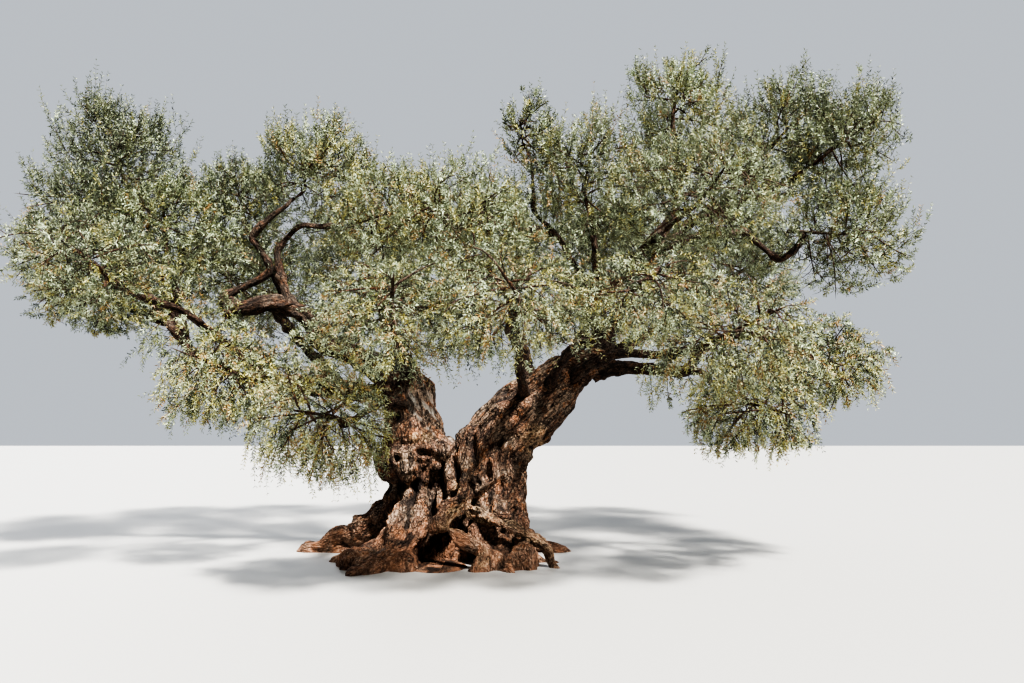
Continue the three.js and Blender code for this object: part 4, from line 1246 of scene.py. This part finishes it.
# Sprays on the boughs themselves: their distance, their length and the height that they stay above. They are
# fuller on the boughs that would stand bare at the back and the edges, and hang on some low ones, down to a
# height of their own. Where the photograph shows the limbs bare, they stand only behind them.
SPRAY_GAP, SPRAY_LENGTH, SPRAY_FLOOR = 0.08, 0.55, 2.75
SPRAY_RADIUS, SPRAY_PLACES, SPRAY_ANGLE, SHOOTS_PER_SPRAY = 0.006, 40, 70, 5
FULL_GAP, FULL_LENGTH = 0.06, 0.85
FULL = (
    "back_left", "back_mid_left", "back_centre", "back_mid_right", "back_right",
    "right_crest", "far_right", "left_skirt_outer",
)
HANGING = {"right_skirt_outer": 1.75, "left_sweep": 2.3, "left_skirt_outer": 1.8, "left_main": 2.2}
BARE_IN_FRONT = ("left_main", "left_peak", "left_shoulder", "summit", "far_right")


def nowhere(roots):
    """No shoot of a spray is a leader."""
    return np.zeros(len(roots), bool)


for index, name in enumerate(BOUGHS):
    random = np.random.default_rng(index * 23 + 7)
    line = spot(lines[name], np.linspace(0.2, 1, SPRAY_PLACES))
    radii = np.full((1, SPRAY_PLACES), SPRAY_RADIUS)
    gap, length = (FULL_GAP, FULL_LENGTH) if name in FULL else (SPRAY_GAP, SPRAY_LENGTH)
    count = round(length_of(line) / gap)
    floor = HANGING.get(name, SPRAY_FLOOR)
    lift = UP * (-0.5 if name in HANGING else 0.3)
    paths, _ = sprout(line[None], radii, count, 0, 1, SPRAY_ANGLE, length, lift, RINGS, random)
    forward = paths[:, -1, 1] - paths[:, 0, 1] < -0.08
    paths = paths[~(forward & (name in BARE_IN_FRONT))]
    paths, _ = fitted(paths, lambda tips: tips[:, 2] > floor)
    base = taper(np.full(len(paths), SPRAY_RADIUS), BRANCHLET_RADII[1], RINGS)
    branchlet_rows.append((paths, base))
    above = lambda tips, owner, leader: tips[:, 2] > floor
    add_shoots(paths, base, SHOOTS_PER_SPRAY, lift, above, nowhere, random)

shoots, tint = np.concatenate(shoot_rows), np.concatenate(tint_rows)
foliage_nodes = [f"{name}_foliage" for name in MASSES]
twig_material = bark_material("twig_bark", 3, 0.35, follows_fibre=False)


def tube_piece(name, rows, sides):
    """One piece of all the tubes of one kind, from rows of paths and radii."""
    paths, radii = (np.concatenate([row[part] for row in rows]) for part in (0, 1))
    mesh = mesh_of(name, *tubes(paths, radii[:, 1:-1], sides))
    piece_of(name, mesh, twig_material, "bark", *foliage_nodes)


shoot_radii = taper(np.full(len(shoots), SHOOT_RADII[0]), SHOOT_RADII[1], 3)
ENDS_AND_BENDS = [0, 1, 3, 4]
tube_piece("foliage_limbs", limb_rows, 5)
tube_piece("foliage_branchlets", [[part[:, ENDS_AND_BENDS] for part in row] for row in branchlet_rows], 3)
tube_piece("foliage_shoots", [(shoots[:, ::2], shoot_radii)], 3)

# Leaves
# Narrow leathery leaves in opposite pairs all along the shoots, dark to yellow-green above, partly by the
# shoot's age and partly by painted light and shade, and felted silvery below. Each is a small folded blade,
# and all those of one tint are one piece.
LEAF_LENGTH, LEAF_WIDTH = 0.053, 0.0148
PAIRS = 11
FIRST_PAIR_AT = 0.12
LEAN, LEAN_SPREAD = 50, 14
# Size of the first leaves, how much smaller the last are, and the least share and spread of each one's own
FIRST_SIZE, SIZE_FALL, LEAST_SHARE, SIZE_SPREAD = 1.08, 0.35, 0.8, 0.4
# Base, one edge, tip and other edge of a leaf, along it and across it; how far the tip bends down, as a share
# of the length, and the edges stand up, as a share of the width
BLADE_ALONG, BLADE_ACROSS = np.array([0, 0.4, 1, 0.55]), np.array([0, 0.5, 0, -0.5])
TIP_BEND, EDGE_RISE = np.array([0, 0, -0.15, 0]), np.array([0, 0.16, 0, 0.16])
# The darkest tints, deep and moss, are dark green leaves and also painted shade within the crown.
TINTS = {  # base colours, and the share of the shoots up to each
    "deep_and_shade": ((0.018, 0.026, 0.012), 0.17),
    "moss_and_shade": ((0.038, 0.052, 0.02), 0.34),
    "olive": ((0.085, 0.092, 0.028), 0.53),
    "grey_green": ((0.135, 0.155, 0.075), 0.71),
    "silver": ((0.36, 0.42, 0.28), 0.84),
    "yellow_green": ((0.26, 0.24, 0.072), 0.96),
    "ochre": ((0.22, 0.13, 0.043), 1.001),
}


def leaf_blades(root, way, face, length, width):
    """Narrow leaves of two triangles, folded along the midrib. The outline runs from the base by the widest
    place of one edge to the tip and back by that of the other. The tip bends down by a share of the length,
    and the edges stand up by a share of the width."""
    side = unit(np.cross(way, face))
    up = np.cross(side, way)
    high = TIP_BEND * length[:, None] + EDGE_RISE * width[:, None]
    places = root[:, None] + way[:, None] * (BLADE_ALONG * length[:, None])[..., None]
    places += side[:, None] * (BLADE_ACROSS * width[:, None])[..., None] + up[:, None] * high[..., None]
    corners = np.arange(len(root))[:, None, None] * 4 + np.array([[0, 1, 2], [0, 2, 3]])
    return places.reshape(-1, 3), corners.reshape(-1, 3)


def leaves_on(shoots, random):
    """Root, way, face, length and width of the leaves of each shoot. They stand in pairs, each pair square to
    the last, and lean out by LEAN degrees. Their upper faces turn towards the sky, and their sizes fall with
    the square of the share of the shoot."""
    count, rings = shoots.shape[:2]
    order = np.arange(PAIRS) + 0.5 * random.random((count, PAIRS))
    share = (FIRST_PAIR_AT + (1 - FIRST_PAIR_AT) * order / PAIRS) * (rings - 1)
    low = np.minimum(share.astype(int), rings - 2)
    pick = np.arange(count)[:, None]
    a, b = shoots[pick, low], shoots[pick, low + 1]
    root = a + (b - a) * (share - low)[..., None]
    onward = unit(b - a)
    side = unit(np.cross(onward, unit(random.normal(size=(count, 1, 3))) + 0.01))
    other = np.cross(onward, side)
    turn = np.arange(PAIRS) * np.pi / 2 + random.normal(0, 0.25, (count, PAIRS))
    turn = turn[..., None, None] + np.array([0, np.pi])[:, None]
    out = np.cos(turn) * side[:, :, None] + np.sin(turn) * other[:, :, None]
    lean = np.radians(LEAN + random.normal(0, LEAN_SPREAD, (count, PAIRS, 2, 1)))
    way = unit(np.cos(lean) * onward[:, :, None] + np.sin(lean) * out + random.normal(0, 0.08, out.shape))
    face = unit(onward[:, :, None] * 0.4 + UP * 0.4 + random.normal(0, 0.7, out.shape))
    size = (FIRST_SIZE - SIZE_FALL * (np.arange(PAIRS) / PAIRS) ** 2)[:, None]
    size = size * (LEAST_SHARE + SIZE_SPREAD * random.random((count, PAIRS, 2)))
    size = size * np.interp(shoots[:, 0, 1], FRONT_RANGE, (FRONT_LEAF, 1))[:, None, None]
    root = np.broadcast_to(root[:, :, None], way.shape)
    ways = (part.reshape(-1, 3) for part in (root, way, face))
    return *ways, (size * LEAF_LENGTH).ravel(), (size * LEAF_WIDTH).ravel()


UNDERSIDE_COLOR = (0.33, 0.37, 0.25)


def leaf_material(name, color):
    """Leathery and half glossy above in its own tint, and felted with pale scales below."""
    material = bpy.data.materials.new(name)
    material.use_nodes = True
    tree = material.node_tree
    shader = tree.nodes["Principled BSDF"].inputs
    under = node(tree, "NewGeometry").outputs["Backfacing"]
    tree.links.new(painted(tree, times(tree, under, 0.6), color, UNDERSIDE_COLOR), shader["Base Color"])
    tree.links.new(rise(tree, under, -1.1, 1.3), shader["Roughness"])
    shader["Specular IOR Level"].default_value = 0.45
    return material


random = np.random.default_rng(99)
last_share = 0
for tint_name, (color, share) in TINTS.items():
    chosen = (tint >= last_share) & (tint < share)
    last_share = share
    mesh = mesh_of(f"leaves_{tint_name}", *leaf_blades(*leaves_on(shoots[chosen], random)))
    material = leaf_material(f"leaf_{tint_name}", color)
    piece_of(f"leaves_{tint_name}", mesh, material, "foliage", *foliage_nodes)

# Studio
# A plain pale floor under an even sky, a high sun at the front right and a weak wide one from behind. The
# camera stands where the photograph was taken, at the height of the eye.
EYE_HEIGHT = 1.55
EYE = (0.76, -10.1, EYE_HEIGHT)
FOCAL_PIXELS, FRAME_WIDTH, FRAME_HEIGHT, HORIZON_ROW = 796, 1024, 683, 428
camera = bpy.data.cameras.new("camera")
camera.sensor_width = 36
camera.lens = 36 * FOCAL_PIXELS / FRAME_WIDTH
viewer = bpy.data.objects.new("camera", camera)
viewer.location = EYE
viewer.rotation_euler = (np.pi / 2 + np.arctan2(HORIZON_ROW - FRAME_HEIGHT / 2, FOCAL_PIXELS), 0, 0)
bpy.context.scene.collection.objects.link(viewer)
bpy.context.scene.camera = viewer

FLOOR_REACH = 60
corners = np.array([(-1, -1, 0), (1, -1, 0), (1, 1, 0), (-1, 1, 0)], float) * FLOOR_REACH
floor_mesh = mesh_of("floor", corners, np.array([[0, 1, 2, 3]]))
floor = bpy.data.objects.new("floor", floor_mesh)
bpy.context.scene.collection.objects.link(floor)
floor_material = bpy.data.materials.new("floor_paint")
floor_material.use_nodes = True
floor_shader = floor_material.node_tree.nodes["Principled BSDF"].inputs
floor_shader["Base Color"].default_value = (0.31, 0.306, 0.3, 1)
floor_mesh.materials.append(floor_material)

sky = bpy.data.worlds.new("sky")
sky.use_nodes = True
background = sky.node_tree.nodes["Background"].inputs
background["Color"].default_value = (0.86, 0.92, 1, 1)
background["Strength"].default_value = 0.52
bpy.context.scene.world = sky
bpy.context.scene.view_settings.look = "AgX - Very High Contrast"


def sun(name, way, spread, strength, color):
    """A distant lamp that shines against a way, the direction from the tree to it, spread in degrees."""
    light = bpy.data.lights.new(name, "SUN")
    light.angle, light.energy, light.color = np.radians(spread), strength, color
    holder = bpy.data.objects.new(name, light)
    holder.rotation_euler = (np.arctan2(np.hypot(*way[:2]), way[2]), 0, np.arctan2(way[0], -way[1]))
    bpy.context.scene.collection.objects.link(holder)


sun("key", (5, -6.2, 11.5), 6, 15.5, (1, 0.97, 0.9))
sun("fill", (-5, 9, 7), 50, 1.1, (0.95, 0.97, 1))
